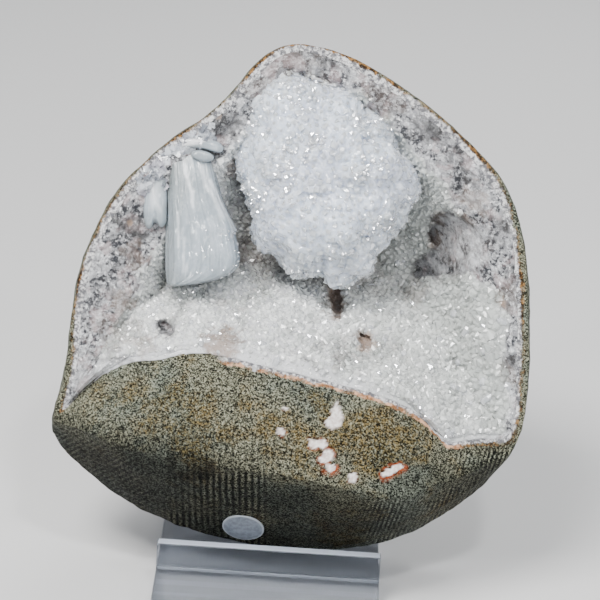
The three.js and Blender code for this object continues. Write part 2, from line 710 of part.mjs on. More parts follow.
// Every vertex of a group, in the part's frame.
function pointsOf(group) {
  group.updateMatrixWorld(true);
  const points = [];
  group.traverse((o) => {
    if (!o.isMesh) return;
    const positions = o.geometry.attributes.position;
    for (let i = 0; i < positions.count; i++) {
      const p = new THREE.Vector3().fromBufferAttribute(positions, i);
      points.push(p.applyMatrix4(o.matrixWorld));
    }
  });
  return points;
}

// ---- assembly ----

const stone = makeStone();
stone.rotation.y = -radians(TURN);
const leaned = new THREE.Group();
leaned.add(stone);
leaned.rotation.x = -radians(LEAN);
leaned.position.x = STONE_X;

const DOWN = new THREE.Vector3(0, 0, -1);
const FRONT = new THREE.Vector3(0, -1, 0);
leaned.position.z = BASE_THICKNESS + GAP + furthest(pointsOf(leaned), DOWN);
const ledgeHeight = BASE_THICKNESS + LEDGE_HEIGHT + 1;
leaned.position.y =
  LEDGE_BACK_Y + LEDGE_CLEARANCE + furthest(pointsOf(leaned), FRONT, ledgeHeight);

const specimen = new THREE.Group();
specimen.add(leaned, makeStand(pointsOf(leaned)));

export default specimen;
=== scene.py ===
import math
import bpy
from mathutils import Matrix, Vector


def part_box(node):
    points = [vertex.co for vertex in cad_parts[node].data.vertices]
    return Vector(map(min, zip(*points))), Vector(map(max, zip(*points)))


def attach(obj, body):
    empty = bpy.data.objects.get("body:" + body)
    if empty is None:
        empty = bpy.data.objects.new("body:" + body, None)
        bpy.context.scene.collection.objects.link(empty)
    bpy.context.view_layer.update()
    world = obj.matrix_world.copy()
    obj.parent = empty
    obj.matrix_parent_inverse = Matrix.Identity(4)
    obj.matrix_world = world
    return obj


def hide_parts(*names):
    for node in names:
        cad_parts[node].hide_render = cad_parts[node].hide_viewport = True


bl_info = {
    "name": "Goosecreekite specimen",
    "version": (1, 0, 0),
    "blender": (4, 5, 0),
    "location": "View3D > Sidebar > Specimen",
    "description": "A goosecreekite geode half on its clear acrylic stand",
    "category": "Add Mesh",
}

import bmesh
import bpy
import numpy as np
from bpy.props import FloatProperty, FloatVectorProperty, IntProperty, PointerProperty
from mathutils import Matrix, Vector

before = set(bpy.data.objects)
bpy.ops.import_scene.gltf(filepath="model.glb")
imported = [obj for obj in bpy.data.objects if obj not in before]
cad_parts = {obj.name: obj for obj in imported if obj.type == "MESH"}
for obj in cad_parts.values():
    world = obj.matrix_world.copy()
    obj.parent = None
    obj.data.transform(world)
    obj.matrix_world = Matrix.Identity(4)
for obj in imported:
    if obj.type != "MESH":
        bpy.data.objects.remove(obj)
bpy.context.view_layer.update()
MM = 0.001

# ---- where the stone stands ----

# The stone's own frame is upright, in millimetres, x to the right, y into the stone and
# z up. It is turned, then leaned back on the stand, and its origin lies at STONE_ORIGIN.
LEAN = math.radians(20)
TURN = math.radians(3.8)
STONE_ORIGIN = np.array([1.45, -3.9745, 65.1383])
STONE_TURN = np.array(Matrix.Rotation(-LEAN, 3, "X") @ Matrix.Rotation(-TURN, 3, "Y"))
VIEW_DISTANCE = 600.0  # from the eye to the stone's origin, for what is laid out as seen
EYE = np.array([1.8, -VIEW_DISTANCE, 0])  # in the stone's own frame
VIEW_HALF_WIDTH = 67.8  # half of what the eye takes in at the stone's origin


def placed(points):
    """Points of the stone's own frame, in the row frame and in metres."""
    return (np.asarray(points) @ STONE_TURN.T + STONE_ORIGIN) * MM


def in_stone(points):
    """Points of the row frame, in metres, back in the stone's own frame."""
    return (np.asarray(points) / MM - STONE_ORIGIN) @ STONE_TURN


def seen(points):
    """Where points of the stone's frame lie across and up as seen from the front."""
    shrink = VIEW_DISTANCE / (VIEW_DISTANCE + points[..., 1])
    return points[..., 0] * shrink, points[..., 2] * shrink


# ---- the stone's outline, as in the solids ----

RIM = np.array([
    [2.3, 0, 57.4], [11.4, 0, 54.8], [20.5, 0, 49.6], [29.8, 0, 43.2], [39, 0, 35.3],
    [46.2, 0, 26.6], [50, 0, 17.6], [51.6, 0, 7.7], [52.2, 0, -5], [51.8, -0.5, -17.3],
    [51, -1.5, -27.4], [48.4, -2.5, -32], [42, -4.5, -32.2], [35.4, -6.5, -33],
    [32.4, -7.4, -30.4], [28, -8.4, -26.4], [19.5, -10, -22.6], [8.4, -10.8, -19.4],
    [-7, -11, -15.6], [-19.4, -10.2, -13], [-29.4, -8.2, -14.4], [-36.2, -6.6, -15.2],
    [-43, -4.4, -18], [-48, -2.4, -21.8], [-52.2, -1, -25.2], [-50.8, 0, -19.5],
    [-49.5, 0, -12], [-48.6, 0, -2], [-46.6, 0, 8], [-42.8, 0, 17], [-37.4, 0, 25.6],
    [-29.3, 0, 33.6], [-19.8, 0, 40.2], [-13.3, 0, 46], [-7.7, 0, 52.5], [-3, 0, 56],
])
GIRTH = np.array([
    [2.5, 4, 58.2], [12, 6, 56], [21.7, 8, 51], [31, 9, 44.5], [40.4, 9, 36.4],
    [47.9, 9, 27.4], [52.1, 10, 18], [53.9, 10, 8], [54.6, 10, -5], [54.3, 10, -18],
    [52.7, 10, -28], [49.4, 10, -36], [43.8, 10, -42.6], [36.5, 11, -48.6],
    [29, 12, -52.8], [20, 12, -56], [9, 12, -57.7], [-3, 12, -57.2], [-15, 11, -55],
    [-25, 10, -52], [-34, 9, -48.2], [-42, 9, -43.6], [-49, 8, -38], [-53.6, 6, -32.4],
    [-54.9, 5, -27.4], [-53, 6, -20], [-51.3, 7, -12], [-50.3, 7, -2], [-48.3, 6, 8],
    [-44.4, 5, 17.3], [-38.7, 4, 26.4], [-30.2, 4, 34.6], [-20.5, 4, 41.2], [-14, 4, 47],
    [-8.4, 4, 53.6], [-3.4, 4, 57.2],
])
LIP_SPAN = (9.6 / 36, 25.2 / 36)  # the share of the way round that the front lip takes up
SAWN_FACES = [
    ((-0.12, -0.62, -0.78), 1.6), ((0.5, -0.5, -0.71), 1.5), ((-0.56, -0.42, -0.72), 1.4),
    ((0.1, 0.6, -0.8), 2), ((0.75, 0.62, -0.2), 2), ((-0.72, 0.66, -0.22), 2),
    ((0.5, 0.75, 0.45), 2), ((-0.42, 0.8, 0.45), 2), ((0, 1, -0.05), 2.5),
]
BACK_POLE = np.array([-1, 44, -3])
HOLLOW_MIDDLE = np.array([-6, 30])
HOLLOW_START = 0.8
HOLLOW_REACH = 36
SHELL_DEPTH = 36
CRUST_DEPTH = 31
RIDGE_SHARE = 0.57
RIDGE_SWELL = 4.5
CRUST_THICKNESS = 2.6
SKIN = 1.3
RIM_RAGGED = 0.28  # how far the rim strays
GAP = 0.3
CRUST_EDGE = SKIN + GAP + 0.8
CRUST_BACK_GAP = 1.7 * GAP
WALL_SHARES = [0.05, 0.13, 0.25, 0.4, 0.6, 0.82]  # rings of the hollow's wall
CRUST_RELIEF = [  # middle, reach and depth into the stone
    (35.5, 12.5, 7.5, 3.2), (29.5, 6.5, 3.5, 1.8), (9.7, -0.5, 3.2, 3.2),
    (-28.3, -6.1, 2.2, 1.3), (-15, -10, 4, 0.9), (16.6, -9, 2.6, 1.5), (50, 2.5, 3, 1.4),
    (-16, 40, 3.5, 1.8), (-6, -3, 6, -2.4), (24, -3, 7, -2.2), (27, 30, 5, -2.4),
    (33, 27, 5, -1.8), (-26, 1, 6, -2), (-12, 18, 4, -3),
]


def smooth(value, low, high):
    """From 0 at low to 1 at high, without a kink."""
    share = np.clip((value - low) / (high - low), 0, 1)
    return share * share * (3 - 2 * share)


def mix(a, b, share):
    return a + (b - a) * share


def closed_curve(points, t):
    """A smooth closed curve through points, at shares t of the way round."""
    count = len(points)
    step = (np.asarray(t) % 1) * count
    first = np.floor(step).astype(int)
    u = (step - first)[..., None]
    p0, p1, p2, p3 = (points[(first + k) % count] for k in (-1, 0, 1, 2))
    m1 = (p2 - p0) / 2
    m2 = (p3 - p1) / 2
    return (
        (2 * u**3 - 3 * u**2 + 1) * p1
        + (u**3 - 2 * u**2 + u) * m1
        + (3 * u**2 - 2 * u**3) * p2
        + (u**3 - u**2) * m2
    )


def lattice(i, j, k):
    """A fixed random number between -1 and 1 for each cell."""
    i, j, k = (np.asarray(v).astype(np.int64).astype(np.uint64) for v in (i, j, k))
    low = np.uint64(0xFFFFFFFF)
    mixed = i * np.uint64(374761393) + j * np.uint64(668265263) + k * np.uint64(2147483647)
    h = mixed & low
    h = ((h ^ (h >> np.uint64(13))) * np.uint64(1274126177)) & low
    return (h ^ (h >> np.uint64(16))).astype(float) / 2147483648 - 1


def noise(points, size, seed=0):
    """Smooth noise between -1 and 1 with cells of the given size."""
    p = points / size + seed * 17.3
    cell = np.floor(p)
    f = p - cell
    u, v, w = np.moveaxis(f * f * (3 - 2 * f), -1, 0)
    i, j, k = np.moveaxis(cell, -1, 0)
    rows = [
        mix(lattice(i, j + dj, k + dk), lattice(i + 1, j + dj, k + dk), u)
        for dk in (0, 1)
        for dj in (0, 1)
    ]
    return mix(mix(rows[0], rows[1], v), mix(rows[2], rows[3], v), w)


def rough(points, size, octaves=3, seed=0):
    """Noise of several sizes, each half as coarse and half as strong as the last."""
    return sum(noise(points, size / 2**n, seed + n) / 2**n for n in range(octaves))


def cells(points, size, seed=0):
    """Distance to the nearest of scattered points, for rounded lumps, in cell sizes."""
    p = points / size
    cell = np.floor(p)
    nearest = np.full(points.shape[:-1], 9.0)
    for di in (-1, 0, 1):
        for dj in (-1, 0, 1):
            for dk in (-1, 0, 1):
                c = cell + (di, dj, dk)
                x, y, z = np.moveaxis(c + seed * 31, -1, 0)
                spot = c + 0.5 + 0.42 * np.stack(
                    [lattice(x, y, z), lattice(x + 91, y, z), lattice(x, y + 57, z)], -1
                )
                nearest = np.minimum(nearest, np.linalg.norm(p - spot, axis=-1))
    return nearest


def inside_outline(u, v, outline):
    """How deep inside a closed outline each place is: negative outside."""
    nearest = np.full(u.shape, 1e9)
    inside = np.zeros(u.shape, bool)
    for a, b in zip(outline, np.roll(outline, -1, 0)):
        along = b - a
        share = ((u - a[0]) * along[0] + (v - a[1]) * along[1]) / (along @ along)
        share = np.clip(share, 0, 1)
        gap = np.hypot(u - a[0] - share * along[0], v - a[1] - share * along[1])
        nearest = np.minimum(nearest, gap)
        crosses = (a[1] > v) != (b[1] > v)
        rise = np.where(b[1] == a[1], 1e-9, b[1] - a[1])
        inside ^= crosses & (u < a[0] + (v - a[1]) * along[0] / rise)
    return np.where(inside, nearest, -nearest)


def line_distance(u, v, line):
    """How far points are from a bent line, as seen from the front."""
    line = np.asarray(line, float)
    best = np.full(np.shape(u), 1e9)
    for a, b in zip(line[:-1], line[1:]):
        du, dv = b - a
        along = ((u - a[0]) * du + (v - a[1]) * dv) / (du * du + dv * dv)
        along = np.clip(along, 0, 1)
        best = np.minimum(best, np.hypot(u - a[0] - along * du, v - a[1] - along * dv))
    return best


# ---- meshes ----


def mesh_object(name, points, faces, materials, flat=False):
    """An object from points in metres and a list of arrays of faces."""
    mesh = bpy.data.meshes.new(name)
    loops = np.concatenate([f.ravel() for f in faces])
    sizes = np.concatenate([np.full(len(f), f.shape[1]) for f in faces])
    mesh.vertices.add(len(points))
    mesh.vertices.foreach_set("co", np.asarray(points, np.float32).ravel())
    mesh.loops.add(len(loops))
    mesh.loops.foreach_set("vertex_index", loops.astype(np.int32))
    mesh.polygons.add(len(sizes))
    starts = np.concatenate([[0], np.cumsum(sizes)[:-1]])
    mesh.polygons.foreach_set("loop_start", starts.astype(np.int32))
    mesh.polygons.foreach_set("loop_total", sizes.astype(np.int32))
    for material in materials:
        mesh.materials.append(material)
    mesh.update(calc_edges=True)
    mesh.polygons.foreach_set("use_smooth", np.full(len(sizes), not flat))
    mesh.validate()
    made = bpy.data.objects.new(name, mesh)
    bpy.context.scene.collection.objects.link(made)
    return made


def skin_faces(rows, columns, start=0, pole_start=True, pole_end=True):
    """Faces over rings of points: rows rings of as many columns, with a pole each end."""
    first = start + (1 if pole_start else 0)
    ring = np.arange(columns)
    following = (ring + 1) % columns
    quads = []
    for row in range(rows - 1):
        a = first + row * columns
        b = a + columns
        quads.append(np.stack([a + ring, a + following, b + following, b + ring], 1))
    faces = [np.concatenate(quads)]
    if pole_start:
        centre = np.full(columns, start)
        faces.append(np.stack([centre, first + following, first + ring], 1))
    if pole_end:
        last = first + (rows - 1) * columns
        centre = np.full(columns, last + columns)
        faces.append(np.stack([centre, last + ring, last + following], 1))
    return faces


def outward(points, faces):
    """The faces, turned round if they enclose their solid inside out."""
    volume = 0.0
    for f in faces:
        for k in range(1, f.shape[1] - 1):
            a, b, c = points[f[:, 0]], points[f[:, k]], points[f[:, k + 1]]
            volume += np.einsum("ij,ij->i", a, np.cross(b, c)).sum()
    return faces if volume > 0 else [f[:, ::-1].copy() for f in faces]


def closed_skin(name, pole_start, rings, pole_end, materials, flat=False):
    """A closed piece from rings of points in the stone's frame, with a pole each end."""
    rings = np.asarray(rings)
    points = np.concatenate([[pole_start], rings.reshape(-1, 3), [pole_end]])
    faces = outward(points, skin_faces(len(rings), rings.shape[1]))
    return mesh_object(name, placed(points), faces, materials, flat)


def vertices_of(piece):
    """A piece's points, in metres."""
    flat = np.zeros(len(piece.data.vertices) * 3, np.float32)
    piece.data.vertices.foreach_get("co", flat)
    return flat.reshape(-1, 3).astype(float)


def mark(piece, name, values):
    """A number at each vertex, which the materials read by name."""
    attribute = piece.data.attributes.get(name)
    if attribute is None:
        attribute = piece.data.attributes.new(name, "FLOAT", "POINT")
    attribute.data.foreach_set("value", np.asarray(values, np.float32).ravel())


def keep(piece, node):
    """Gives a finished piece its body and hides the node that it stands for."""
    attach(piece, "root")
    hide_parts(node)
    return piece


# ---- materials ----


def linear(red, green, blue):
    """A colour given from 0 to 255, as the shaders take it."""
    def one(value):
        share = value / 255
        return share / 12.92 if share <= 0.04045 else ((share + 0.055) / 1.055) ** 2.4
    return (one(red), one(green), one(blue), 1)


class Nodes:
    """Writes a material's nodes in short lines."""

    def __init__(self, name):
        self.material = bpy.data.materials.new(name)
        self.material.use_nodes = True
        self.tree = self.material.node_tree
        self.shader = next(n for n in self.tree.nodes if n.type == "BSDF_PRINCIPLED")
        self.place = self.tree.nodes.new("ShaderNodeTexCoord").outputs["Object"]

    def join(self, value, socket):
        if isinstance(value, bpy.types.NodeSocket):
            self.tree.links.new(value, socket)
        else:
            socket.default_value = value

    def noise(self, scale, detail=3.0, roughness=0.55, distortion=0.0, place=None):
        node = self.tree.nodes.new("ShaderNodeTexNoise")
        self.join(self.place if place is None else place, node.inputs["Vector"])
        node.inputs["Scale"].default_value = scale
        node.inputs["Detail"].default_value = detail
        node.inputs["Roughness"].default_value = roughness
        node.inputs["Distortion"].default_value = distortion
        return node.outputs["Fac"]

    def small_cells(self, scale):
        node = self.tree.nodes.new("ShaderNodeTexVoronoi")
        self.join(self.place, node.inputs["Vector"])
        node.inputs["Scale"].default_value = scale
        return node.outputs

    def speckle(self, scale):
        """Distance to the middle of the nearest of many small cells."""
        return self.small_cells(scale)["Distance"]

    def grain(self, scale):
        """A random number for each of many small cells."""
        parts = self.tree.nodes.new("ShaderNodeSeparateColor")
        self.join(self.small_cells(scale)["Color"], parts.inputs["Color"])
        return parts.outputs["Red"]

    def facets(self, scale, strength):
        """Normals that tip another way in each of many small cells, as on crystal faces."""
        steps = [("SUBTRACT", (0.5, 0.5, 0.5)), ("SCALE", strength), ("ADD", None)]
        value = self.small_cells(scale)["Color"]
        facing = self.tree.nodes.new("ShaderNodeNewGeometry").outputs["Normal"]
        for operation, other in steps:
            step = self.tree.nodes.new("ShaderNodeVectorMath")
            step.operation = operation
            self.join(value, step.inputs[0])
            if operation == "SCALE":
                step.inputs["Scale"].default_value = other
            else:
                self.join(facing if other is None else other, step.inputs[1])
            value = step.outputs["Vector"]
        unit = self.tree.nodes.new("ShaderNodeVectorMath")
        unit.operation = "NORMALIZE"
        self.join(value, unit.inputs[0])
        return unit.outputs["Vector"]

    def waves(self, direction, spacing, wobble=2.5):
        """Even grooves across a direction, from -1 to 1, a little uneven."""
        dot = self.tree.nodes.new("ShaderNodeVectorMath")
        dot.operation = "DOT_PRODUCT"
        self.join(self.place, dot.inputs[0])
        dot.inputs[1].default_value = tuple(float(d) * 2 * math.pi / spacing for d in direction)
        phase = self.maths("ADD", dot.outputs["Value"], self.maths(
            "MULTIPLY", self.noise(140, 3, 0.6), wobble))
        return self.maths("SINE", phase, 0.0)

    def turned(self, angles, scale=(1, 1, 1)):
        node = self.tree.nodes.new("ShaderNodeMapping")
        self.join(self.place, node.inputs["Vector"])
        node.inputs["Rotation"].default_value = angles
        node.inputs["Scale"].default_value = scale
        return node.outputs["Vector"]

    def attribute(self, name):
        node = self.tree.nodes.new("ShaderNodeAttribute")
        node.attribute_name = name
        return node.outputs["Fac"]

    def ramp(self, value, low, high, start=0.0, end=1.0):
        node = self.tree.nodes.new("ShaderNodeMapRange")
        node.interpolation_type = "SMOOTHSTEP"
        self.join(value, node.inputs["Value"])
        node.inputs["From Min"].default_value = low
        node.inputs["From Max"].default_value = high
        node.inputs["To Min"].default_value = start
        node.inputs["To Max"].default_value = end
        return node.outputs["Result"]

    def maths(self, operation, a, b):
        node = self.tree.nodes.new("ShaderNodeMath")
        node.operation = operation
        self.join(a, node.inputs[0])
        self.join(b, node.inputs[1])
        return node.outputs["Value"]

    def blend(self, share, a, b, kind="MIX"):
        node = self.tree.nodes.new("ShaderNodeMix")
        node.data_type = "RGBA"
        node.blend_type = kind
        self.join(share, node.inputs[0])
        self.join(a, node.inputs[6])
        self.join(b, node.inputs[7])
        return node.outputs[2]

    def bump(self, height, distance, strength=1.0, under=None):
        node = self.tree.nodes.new("ShaderNodeBump")
        node.inputs["Strength"].default_value = strength
        node.inputs["Distance"].default_value = distance
        self.join(height, node.inputs["Height"])
        if under is not None:
            self.join(under, node.inputs["Normal"])
        return node.outputs["Normal"]

    def surface(self, **values):
        """Sets the shader's sockets, named with _ for a space."""
        for name, value in values.items():
            self.join(value, self.shader.inputs[name.replace("_", " ")])
        return self.material


def basalt_material(settings):
    n = Nodes("basalt")
    specks = n.grain(3700)
    salt = n.maths("MULTIPLY", specks, 0.62)
    salt = n.maths("ADD", salt, n.maths("MULTIPLY", n.ramp(n.noise(6200, 2, 0.6), 0.36, 0.64), 0.38))
    base = n.blend(
        n.ramp(salt, 0.3, 0.9),
        tuple(settings.basalt_dark) + (1,),
        tuple(settings.basalt_light) + (1,),
    )
    cool = n.ramp(n.noise(60, 4, 0.6), 0.45, 0.6)
    base = n.blend(cool, base, (0.8, 0.88, 0.98, 1), "MULTIPLY")
    ochre = n.maths("ADD", n.noise(190, 4, 0.7), n.attribute("ochre"))
    ochre = n.maths("MULTIPLY", n.ramp(ochre, 0.54, 0.76), n.ramp(n.noise(1500, 3, 0.7), 0.4, 0.56, 0.2))
    base = n.blend(ochre, base, (0.76, 0.55, 0.29, 1), "MULTIPLY")
    grooves = 0.0
    for k, (angle, spacing) in enumerate(SAW_SETS):
        a = math.radians(angle)
        across = STONE_TURN @ np.array([-math.sin(a), 0, math.cos(a)])
        wave = n.waves(across, spacing * settings.saw_spacing)
        grooves = n.maths("ADD", n.maths("MULTIPLY", wave, n.attribute("saw_%d" % k)), grooves)
    # Painted shade and highlight: darker and lighter stripes along the saw grooves, besides their bump.
    lit = n.maths("MAXIMUM", n.maths("ADD", 1.12, n.maths("MULTIPLY", grooves, 1.35)), 0.1)
    # This mark holds the basalt's own lightness and painted shade on its underside.
    tone_and_shade = n.maths("MULTIPLY", n.attribute("tone_and_shade"), lit)
    base = n.blend(tone_and_shade, linear(0, 0, 0), base)

    ragged = n.maths("MULTIPLY", n.maths("SUBTRACT", n.noise(800, 4, 0.75), 0.5), 2.0)
    inwards = n.maths("ADD", n.attribute("inwards"), ragged)
    pale = n.maths("MULTIPLY", n.ramp(inwards, 0.1, 0.3), n.attribute("pale"))
    pale_colour = n.blend(
        n.ramp(n.noise(1000, 4, 0.75), 0.4, 0.58), linear(230, 229, 229), linear(108, 108, 112))
    base = n.blend(pale, base, pale_colour)
    line = n.maths("MULTIPLY", n.ramp(inwards, -0.6, -0.25), n.ramp(inwards, 0.6, 0.3))
    broken_up = n.ramp(n.noise(230, 4, 0.7), 0.36, 0.52, 0.1)
    rind = n.maths("MULTIPLY", n.maths("MULTIPLY", line, n.attribute("rind")), broken_up)
    rind_colour = n.blend(
        n.ramp(n.noise(900, 3, 0.7), 0.4, 0.54), linear(158, 118, 72), linear(50, 36, 24))
    base = n.blend(rind, base, rind_colour)
    wide = n.maths("MULTIPLY", n.ramp(inwards, -0.5, -0.2), n.ramp(inwards, 0.65, 0.35))
    orange = n.maths("MULTIPLY", wide, n.attribute("orange"))
    orange = n.maths("MULTIPLY", orange, n.ramp(n.noise(260, 4, 0.7), 0.4, 0.54, 0.15))
    orange_colour = n.blend(
        n.ramp(n.noise(700, 3), 0.4, 0.6), linear(222, 176, 142), linear(140, 96, 64))
    base = n.blend(orange, base, orange_colour)

    rust_colour = n.blend(n.grain(2600), linear(178, 78, 36), linear(84, 40, 24))
    base = n.blend(n.attribute("rust"), base, rust_colour)
    white = n.blend(n.ramp(n.noise(1400, 3), 0.35, 0.65), linear(250, 245, 241), linear(220, 206, 200))
    base = n.blend(n.attribute("filled"), base, white)
    bumps = n.bump(salt, 0.00022, 1.0)
    bumps = n.bump(n.noise(420, 3, 0.6), 0.0005, 0.35, bumps)
    bumps = n.bump(grooves, settings.saw_depth, 1.0, bumps)
    return n.surface(
        Base_Color=base,
        Roughness=n.ramp(specks, 0.2, 0.9, 0.85, 0.55),
        Normal=bumps,
        Specular_IOR_Level=0.12,
    )


def quartz_colour(n, pale, dusky, grains=1250):
    """Pale quartz that turns grey, pinkish and ochre where its marks say; some of the grey and dark is
    painted shade.
    """
    cloud = n.ramp(n.noise(210, 4, 0.6), 0.4, 0.65)
    colour = n.blend(n.maths("MULTIPLY", cloud, 0.16), pale, dusky)
    fine = n.ramp(n.noise(grains, 5, 0.85), 0.42, 0.52)
    clear = n.ramp(n.grain(grains * 1.3), 0.4, 0.6)
    mottle = n.maths("ADD", n.maths("MULTIPLY", fine, 0.6), n.maths("MULTIPLY", clear, 0.4))
    patches = n.ramp(n.noise(230, 4, 0.7, 0.4), 0.4, 0.58, 0.66, 1.3)
    mottle = n.maths("MULTIPLY", mottle, patches)
    mottle = n.maths("MINIMUM", n.maths("MULTIPLY", mottle, n.attribute("grey")), 1.0)
    colour = n.blend(mottle, colour, dusky)
    pink = n.maths("MULTIPLY", n.ramp(n.noise(240, 3), 0.52, 0.64), n.attribute("grey"))
    colour = n.blend(n.maths("MULTIPLY", pink, 0.4), colour, linear(206, 184, 184))
    # The veil is a grey tint towards the right and painted shade between masses of crystals.
    colour = n.blend(n.attribute("veil"), colour, linear(178, 182, 178))
    # Dark marks: veins and dark patches of its own, and painted shade in hollows, crevices and the deep
    # recess.
    dark = n.maths("MULTIPLY", n.attribute("dark"), n.ramp(n.noise(900, 3, 0.8), 0.3, 0.5, 0.45))
    colour = n.blend(dark, colour, linear(46, 44, 44))
    warm = n.maths("MULTIPLY", n.attribute("warm"), n.ramp(n.noise(520, 4, 0.7), 0.3, 0.55, 0.3))
    return n.blend(warm, colour, linear(160, 138, 122))


def crust_material():
    n = Nodes("massive_quartz")
    colour = quartz_colour(n, linear(232, 233, 236), linear(34, 36, 44), 950)
    fine = n.bump(n.noise(1000, 4, 0.8), 0.0011, 1.0)
    return n.surface(
        Base_Color=colour,
        Roughness=n.ramp(n.noise(900, 3), 0.3, 0.7, 0.3, 0.6),
        Normal=fine,
        IOR=1.54,
        Coat_Weight=0.5,
        Coat_Roughness=0.15,
        Coat_Normal=n.facets(1250, 1.2),
        Subsurface_Weight=0.1,
        Subsurface_Radius=(0.001, 0.001, 0.001),
        Subsurface_Scale=1.0,
    )


def druse_material(settings):
    n = Nodes("quartz_crystals")
    colour = quartz_colour(
        n, tuple(settings.druse_colour) + (1,), linear(104, 105, 100), 1600)
    shade = n.ramp(n.attribute("shade"), 0.35, 1.0, 0.0, 0.6)
    colour = n.blend(shade, colour, linear(146, 151, 149))
    return n.surface(
        Base_Color=colour,
        Roughness=n.ramp(n.attribute("shade"), 0.0, 1.0, 0.08, 0.25),
        IOR=1.55,
        Coat_Weight=1.0,
        Coat_Roughness=0.06,
        Coat_Normal=n.facets(1100, 0.9),
        Subsurface_Weight=0.3,
        Subsurface_Radius=(0.0016, 0.0016, 0.0016),
        Subsurface_Scale=1.0,
    )


def clear_quartz_material():
    n = Nodes("clear_quartz")
    veil = n.ramp(n.noise(700, 3, 0.6), 0.4, 0.65)
    return n.surface(
        Base_Color=n.blend(veil, linear(226, 230, 236), linear(248, 250, 252)),
        Roughness=n.ramp(n.noise(900, 2), 0.4, 0.7, 0.03, 0.15),
        IOR=1.55,
        Transmission_Weight=0.45,
        Coat_Weight=1.0,
        Coat_Roughness=0.03,
        Subsurface_Weight=0.4,
        Subsurface_Radius=(0.002, 0.002, 0.002),
        Subsurface_Scale=1.0,
    )


def glassy_material():
    n = Nodes("glassy_quartz")
    cloud = n.ramp(n.noise(360, 3, 0.6, 0.6), 0.38, 0.62)
    colour = n.blend(cloud, linear(112, 117, 126), linear(198, 203, 210))
    colour = n.blend(n.ramp(n.noise(200, 2), 0.5, 0.65, 0.0, 0.35), colour, linear(168, 158, 172))
    return n.surface(
        Base_Color=colour,
        Roughness=n.ramp(n.noise(900, 2), 0.4, 0.7, 0.05, 0.2),
        IOR=1.54,
        Coat_Weight=1.0,
        Coat_Roughness=0.04,
        Coat_Normal=n.facets(420, 0.7),
        Subsurface_Weight=0.35,
        Subsurface_Radius=(0.003, 0.003, 0.003),
        Subsurface_Scale=1.0,
    )


def ball_material(settings):
    n = Nodes("white_crystals")
    cloud = n.ramp(n.noise(90, 3, 0.5), 0.35, 0.7)
    pale = tuple(settings.ball_colour) + (1,)
    colour = n.blend(n.maths("MULTIPLY", cloud, 0.5), pale, linear(202, 207, 226))
    milk = n.ramp(n.noise(1100, 3, 0.6, 0.4), 0.45, 0.65)
    colour = n.blend(n.maths("MULTIPLY", milk, 0.4), colour, linear(242, 246, 252))
    # On the ball the grey mark is painted shade towards its underside.
    colour = n.blend(n.attribute("grey"), colour, linear(176, 182, 182))
    fine = n.bump(n.noise(1500, 3, 0.6), 0.0003, 0.6)
    fine = n.bump(n.speckle(1100), 0.00025, 0.4, fine)
    return n.surface(
        Base_Color=colour,
        Roughness=n.ramp(n.noise(500, 3), 0.35, 0.65, 0.12, 0.3),
        Normal=fine,
        IOR=1.5,
        Coat_Weight=1.0,
        Coat_Roughness=0.06,
        Coat_Normal=n.facets(1350, 1.0),
        Subsurface_Weight=0.85,
        Subsurface_Radius=(0.0035, 0.0036, 0.0039),
        Subsurface_Scale=1.0,
    )


def fan_material(settings):
    n = Nodes("goosecreekite")
    along = n.turned((-LEAN, 0, 0), (1, 1, 0.07))
    cloud = n.ramp(n.noise(420, 3, 0.55, 0.4, along), 0.36, 0.66)
    colour = n.blend(
        n.maths("MULTIPLY", cloud, 0.4),
        tuple(settings.fan_colour) + (1,),
        linear(190, 199, 209),
    )
    fibre = n.ramp(n.noise(1300, 2, 0.5, 0.0, along), 0.58, 0.72)
    colour = n.blend(n.maths("MULTIPLY", fibre, 0.28), colour, linear(244, 248, 251))
    colour = n.blend(n.attribute("grey"), colour, linear(120, 127, 127))
    # Painted highlights along its streaks and on the thumbs' upper edges.
    colour = n.blend(n.attribute("painted_highlight"), colour, linear(252, 253, 255))
    fine = n.bump(n.noise(900, 2, 0.5, 0.0, along), 0.0003, 0.45)
    return n.surface(
        Base_Color=colour,
        Roughness=n.ramp(n.noise(240, 3), 0.35, 0.65, 0.16, 0.32),
        Normal=fine,
        IOR=1.5,
        Coat_Weight=0.6,
        Coat_Roughness=0.08,
        Coat_Normal=n.facets(1100, 0.35),
        Subsurface_Weight=0.7,
        Subsurface_Radius=(0.004, 0.0042, 0.0044),
        Subsurface_Scale=1.0,
    )


def dot_material():
    n = Nodes("dot_film")
    mottle = n.ramp(n.noise(900, 3, 0.7), 0.3, 0.7)
    colour = n.blend(mottle, linear(88, 94, 104), linear(118, 125, 135))
    colour = n.blend(n.maths("MULTIPLY", n.attribute("edge"), 0.6), colour, linear(168, 174, 182))
    return n.surface(
        Base_Color=colour,
        Roughness=0.34,
        Normal=n.bump(n.noise(1300, 2, 0.6), 0.0001, 0.4),
    )


def acrylic_material(settings):
    n = Nodes("clear_acrylic")
    scratches = n.noise(700, 3, 0.7, 1.5, n.turned((0.3, 0, 0.9), (1, 0.12, 1)))
    return n.surface(
        Base_Color=tuple(settings.acrylic_tint) + (1,),
        Roughness=n.ramp(scratches, 0.6, 0.72, 0.01, 0.12),
        IOR=1.49,
        Transmission_Weight=1.0,
    )


def sawn_edge_material():
    n = Nodes("sawn_acrylic_edge")
    lines = n.turned((0, 0, 0), (1, 0.15, 1))
    fine = n.bump(n.noise(1600, 3, 0.6, 0.0, lines), 0.0002, 0.6)
    return n.surface(
        Base_Color=linear(214, 222, 236),
        Roughness=0.42,
        Normal=fine,
        IOR=1.49,
        Transmission_Weight=0.5,
    )


def stage_material(settings):
    n = Nodes("studio_floor")
    return n.surface(
        Base_Color=tuple(settings.floor_colour) + (1,),
        Roughness=0.6,
        Specular_IOR_Level=0.2,
    )


# ---- settings ----


